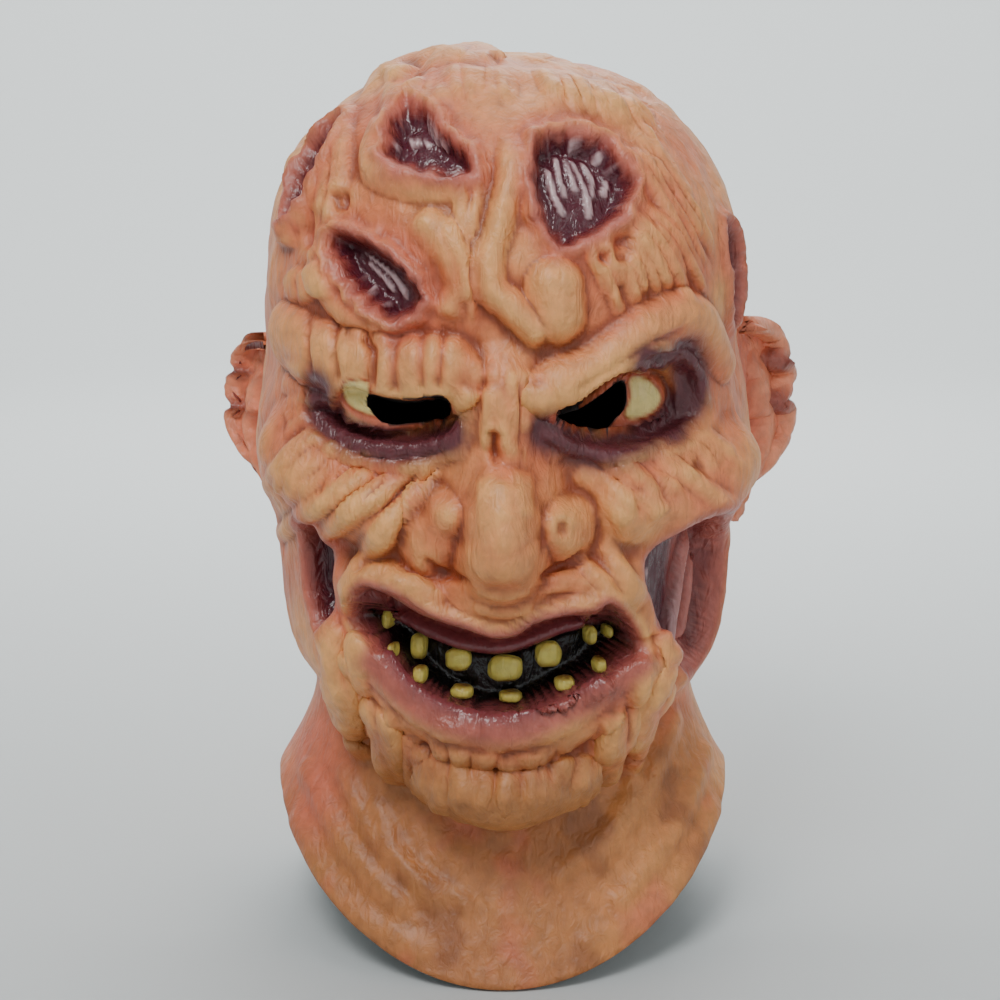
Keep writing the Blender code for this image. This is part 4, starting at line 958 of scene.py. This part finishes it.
levels, reaches = np.array(EAR_OUTLINE).T
for ear_name, side, share in (("ear_left", -1, LEFT_EAR_SHARE), ("ear_right", 1, 1.0)):
    ear = bmesh.new()
    ear_paint = ear.verts.layers.float_color.new("paint")
    ear_gloss = ear.verts.layers.float.new("gloss")
    bmesh.ops.create_grid(ear, x_segments=40, y_segments=80, size=1)
    for vert in ear.verts:
        out = (vert.co.x + 1) / 2
        up = (vert.co.y + 1) / 2
        ragged = 1 + 0.07 * noise.noise((up * 9, side * 3.1, 0)) + 0.05 * noise.noise((up * 24, side, 5))
        reach = EAR_REACH * share * ragged * float(smooth_between(np.array(up), levels, reaches))
        drop = EAR_DROP + EAR_HEIGHT * share * (0.5 - up)
        root = float(head_reach(np.array(math.pi / 2), np.array(drop))) - WALL / 2
        away = EAR_ROOT_ANGLE + (EAR_RIM_ANGLE - EAR_ROOT_ANGLE) * out
        rim = math.exp(-(((out - 0.90) / 0.10) ** 2)) * eased((up - 0.14) / 0.15)
        fold = math.exp(-(((out - 0.58 + 0.25 * (up - 0.5)) / 0.12) ** 2)) * eased((0.92 - up) / 0.3)
        bowl = math.exp(-(((out - 0.28) / 0.18) ** 2)) * math.exp(-(((up - 0.45) / 0.22) ** 2))
        waves = 0.8 * noise.noise((out * 6, up * 10, side * 2.0)) + 0.5 * noise.noise((out * 14, up * 22, side))
        lift = MM * (4.4 * rim + 3.2 * fold - 4.5 * bowl + waves)
        vert.co = (
            side * (root + reach * out * math.cos(away) + lift * math.sin(away)),
            reach * out * math.sin(away) - lift * math.cos(away),
            WALL - drop,
        )
        red = np.clip(0.55 - 0.5 * rim - 0.45 * fold + 0.5 * bowl + 0.5 * noise.noise((out * 5, up * 9, 3)), 0, 1)
        edge = max(0.0, (out - 0.94) / 0.06) + 0.3 * noise.noise((out * 9, up * 16, 9))
        for notch in EAR_NOTCHES:
            edge += 0.8 * math.exp(-(((up - notch) / 0.05) ** 2)) * eased((out - 0.5) / 0.4)
        edge = np.clip(edge, 0, 1)
        color = EAR_FLESH + (EAR_RED - EAR_FLESH) * red
        color = color + (EAR_EDGE - color) * edge
        vert[ear_paint] = (*color, 1)
        vert[ear_gloss] = 0.35 + 0.3 * edge
    bmesh.ops.recalc_face_normals(ear, faces=ear.faces)
    bmesh.ops.solidify(ear, geom=ear.faces[:], thickness=EAR_THICKNESS)
    bmesh.ops.recalc_face_normals(ear, faces=ear.faces)
    for face in ear.faces:
        face.smooth = True
    ear_mesh = bpy.data.meshes.new(ear_name)
    ear.to_mesh(ear_mesh)
    ear.free()
    ear_piece = bpy.data.objects.new(ear_name, ear_mesh)
    bpy.context.scene.collection.objects.link(ear_piece)
    ear_piece.data.materials.append(latex_paint)
    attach(ear_piece, "root")

# The teeth: separate worn stumps, yellow with brown edges, set in the gums.
TOOTH_DEPTH = 0.0077
TOOTH_YELLOW = tint(216, 200, 98)
TOOTH_BROWN = tint(120, 82, 34)

for node in sorted(frame["nodes"]):
    if not node.startswith("tooth"):
        continue
    low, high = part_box(node)
    middle = [(low[axis] + high[axis]) / 2 for axis in range(3)]
    turn = math.atan2(middle[0], -middle[1])
    width = ((high[0] - low[0]) - TOOTH_DEPTH * abs(math.sin(turn))) / math.cos(turn)
    height = high[2] - low[2]
    tooth = bmesh.new()
    tooth_paint = tooth.verts.layers.float_color.new("paint")
    tooth_gloss = tooth.verts.layers.float.new("gloss")
    bmesh.ops.create_uvsphere(tooth, u_segments=28, v_segments=20, radius=1)
    seed = len(node) + 7 * ord(node[-1]) + (3 if "upper" in node else 0)
    for vert in tooth.verts:
        rough_edge = 1 + 0.10 * noise.noise(vert.co * 1.6 + Vector((seed, 0, 0)))
        square = [math.copysign(abs(share) ** 0.72, share) * rough_edge / 2 for share in vert.co]
        across = width * square[0]
        deep = TOOTH_DEPTH * square[1]
        up = height * square[2]
        tip = -vert.co.z if "upper" in node else vert.co.z
        stain = max(0.0, tip - 0.15) * 1.1 + 0.25 * noise.noise(vert.co * 3 + Vector((0, seed, 0)))
        stain = min(1.0, max(0.0, stain))
        vert[tooth_paint] = (*(TOOTH_YELLOW + (TOOTH_BROWN - TOOTH_YELLOW) * stain), 1)
        vert[tooth_gloss] = 0.6
        vert.co = (
            middle[0] + across * math.cos(turn) - deep * math.sin(turn),
            middle[1] + across * math.sin(turn) + deep * math.cos(turn),
            middle[2] + up,
        )
    for face in tooth.faces:
        face.smooth = True
    tooth_mesh = bpy.data.meshes.new("worn_" + node)
    tooth.to_mesh(tooth_mesh)
    tooth.free()
    stump = bpy.data.objects.new("worn_" + node, tooth_mesh)
    bpy.context.scene.collection.objects.link(stump)
    stump.data.materials.append(latex_paint)
    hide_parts(node)
    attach(stump, "root")

# The studio: a pale floor under the hem, soft lights and the camera of the photograph.
CAMERA_TARGET = Vector((-0.0012, 0.0, -0.170))
CAMERA_DISTANCE = 0.75
CAMERA_LENS = 67.5
FLOOR_LEVEL = WALL - CHEST_DROP - 0.001
BACKDROP_BEND = 0.9
BACKDROP_HEIGHT = 2.4

floor_mesh = bmesh.new()
profile = [(0.0, 0.0), (1.6, 0.0)]
for step in range(1, 13):
    bend = math.radians(90 * step / 12)
    profile.append((1.6 + BACKDROP_BEND * math.sin(bend), BACKDROP_BEND * (1 - math.cos(bend))))
profile.append((1.6 + BACKDROP_BEND, BACKDROP_HEIGHT))
ring = [floor_mesh.verts.new((reach, 0, FLOOR_LEVEL + rise)) for reach, rise in profile]
edges = [floor_mesh.edges.new(pair) for pair in zip(ring[:-1], ring[1:])]
bmesh.ops.spin(floor_mesh, geom=ring + edges, cent=(0, 0, 0), axis=(0, 0, 1), angle=2 * math.pi,
               steps=96, use_merge=True)
bmesh.ops.remove_doubles(floor_mesh, verts=floor_mesh.verts, dist=1e-5)
for face in floor_mesh.faces:
    face.smooth = True
floor_data = bpy.data.meshes.new("floor")
floor_mesh.to_mesh(floor_data)
floor_mesh.free()
floor = bpy.data.objects.new("floor", floor_data)
bpy.context.scene.collection.objects.link(floor)
floor_paint = bpy.data.materials.new("pale_floor")
floor_paint.use_nodes = True
floor_shader = floor_paint.node_tree.nodes["Principled BSDF"]
floor_shader.inputs["Base Color"].default_value = (0.54, 0.565, 0.565, 1)
floor_shader.inputs["Roughness"].default_value = 0.8
floor.data.materials.append(floor_paint)

world = bpy.data.worlds.new("studio")
bpy.context.scene.world = world
world.use_nodes = True
world.node_tree.nodes["Background"].inputs["Color"].default_value = (0.66, 0.70, 0.72, 1)
world.node_tree.nodes["Background"].inputs["Strength"].default_value = 0.6


def soft_light(name, place, size, watts):
    """A square soft box that faces the middle of the mask."""
    lamp = bpy.data.lights.new(name, "AREA")
    lamp.size = size
    lamp.energy = watts
    box = bpy.data.objects.new(name, lamp)
    box.location = place
    box.rotation_euler = (CAMERA_TARGET - Vector(place)).to_track_quat("-Z", "Y").to_euler()
    bpy.context.scene.collection.objects.link(box)


soft_light("key", (-0.3, -0.85, 0.95), 0.5, 13)
soft_light("fill", (1.0, -0.9, 0.3), 0.8, 3)
soft_light("back", (0.2, 1.2, 0.9), 0.8, 6)
soft_light("front", (0.0, -1.3, -0.1), 0.8, 1.5)
backdrop_light = bpy.data.lights.new("backdrop", "AREA")
backdrop_light.size = 1.2
backdrop_light.energy = 85
backdrop_box = bpy.data.objects.new("backdrop", backdrop_light)
backdrop_box.location = (0, 0.7, 1.5)
backdrop_box.rotation_euler = (math.radians(60), 0, 0)
bpy.context.scene.collection.objects.link(backdrop_box)

camera_data = bpy.data.cameras.new("camera")
camera_data.lens = CAMERA_LENS
camera = bpy.data.objects.new("camera", camera_data)
back = Vector((0, -math.cos(CHART_TILT), math.sin(CHART_TILT)))
camera.location = CAMERA_TARGET + back * CAMERA_DISTANCE
camera.rotation_euler = (-back).to_track_quat("-Z", "Y").to_euler()
bpy.context.scene.collection.objects.link(camera)
bpy.context.scene.camera = camera
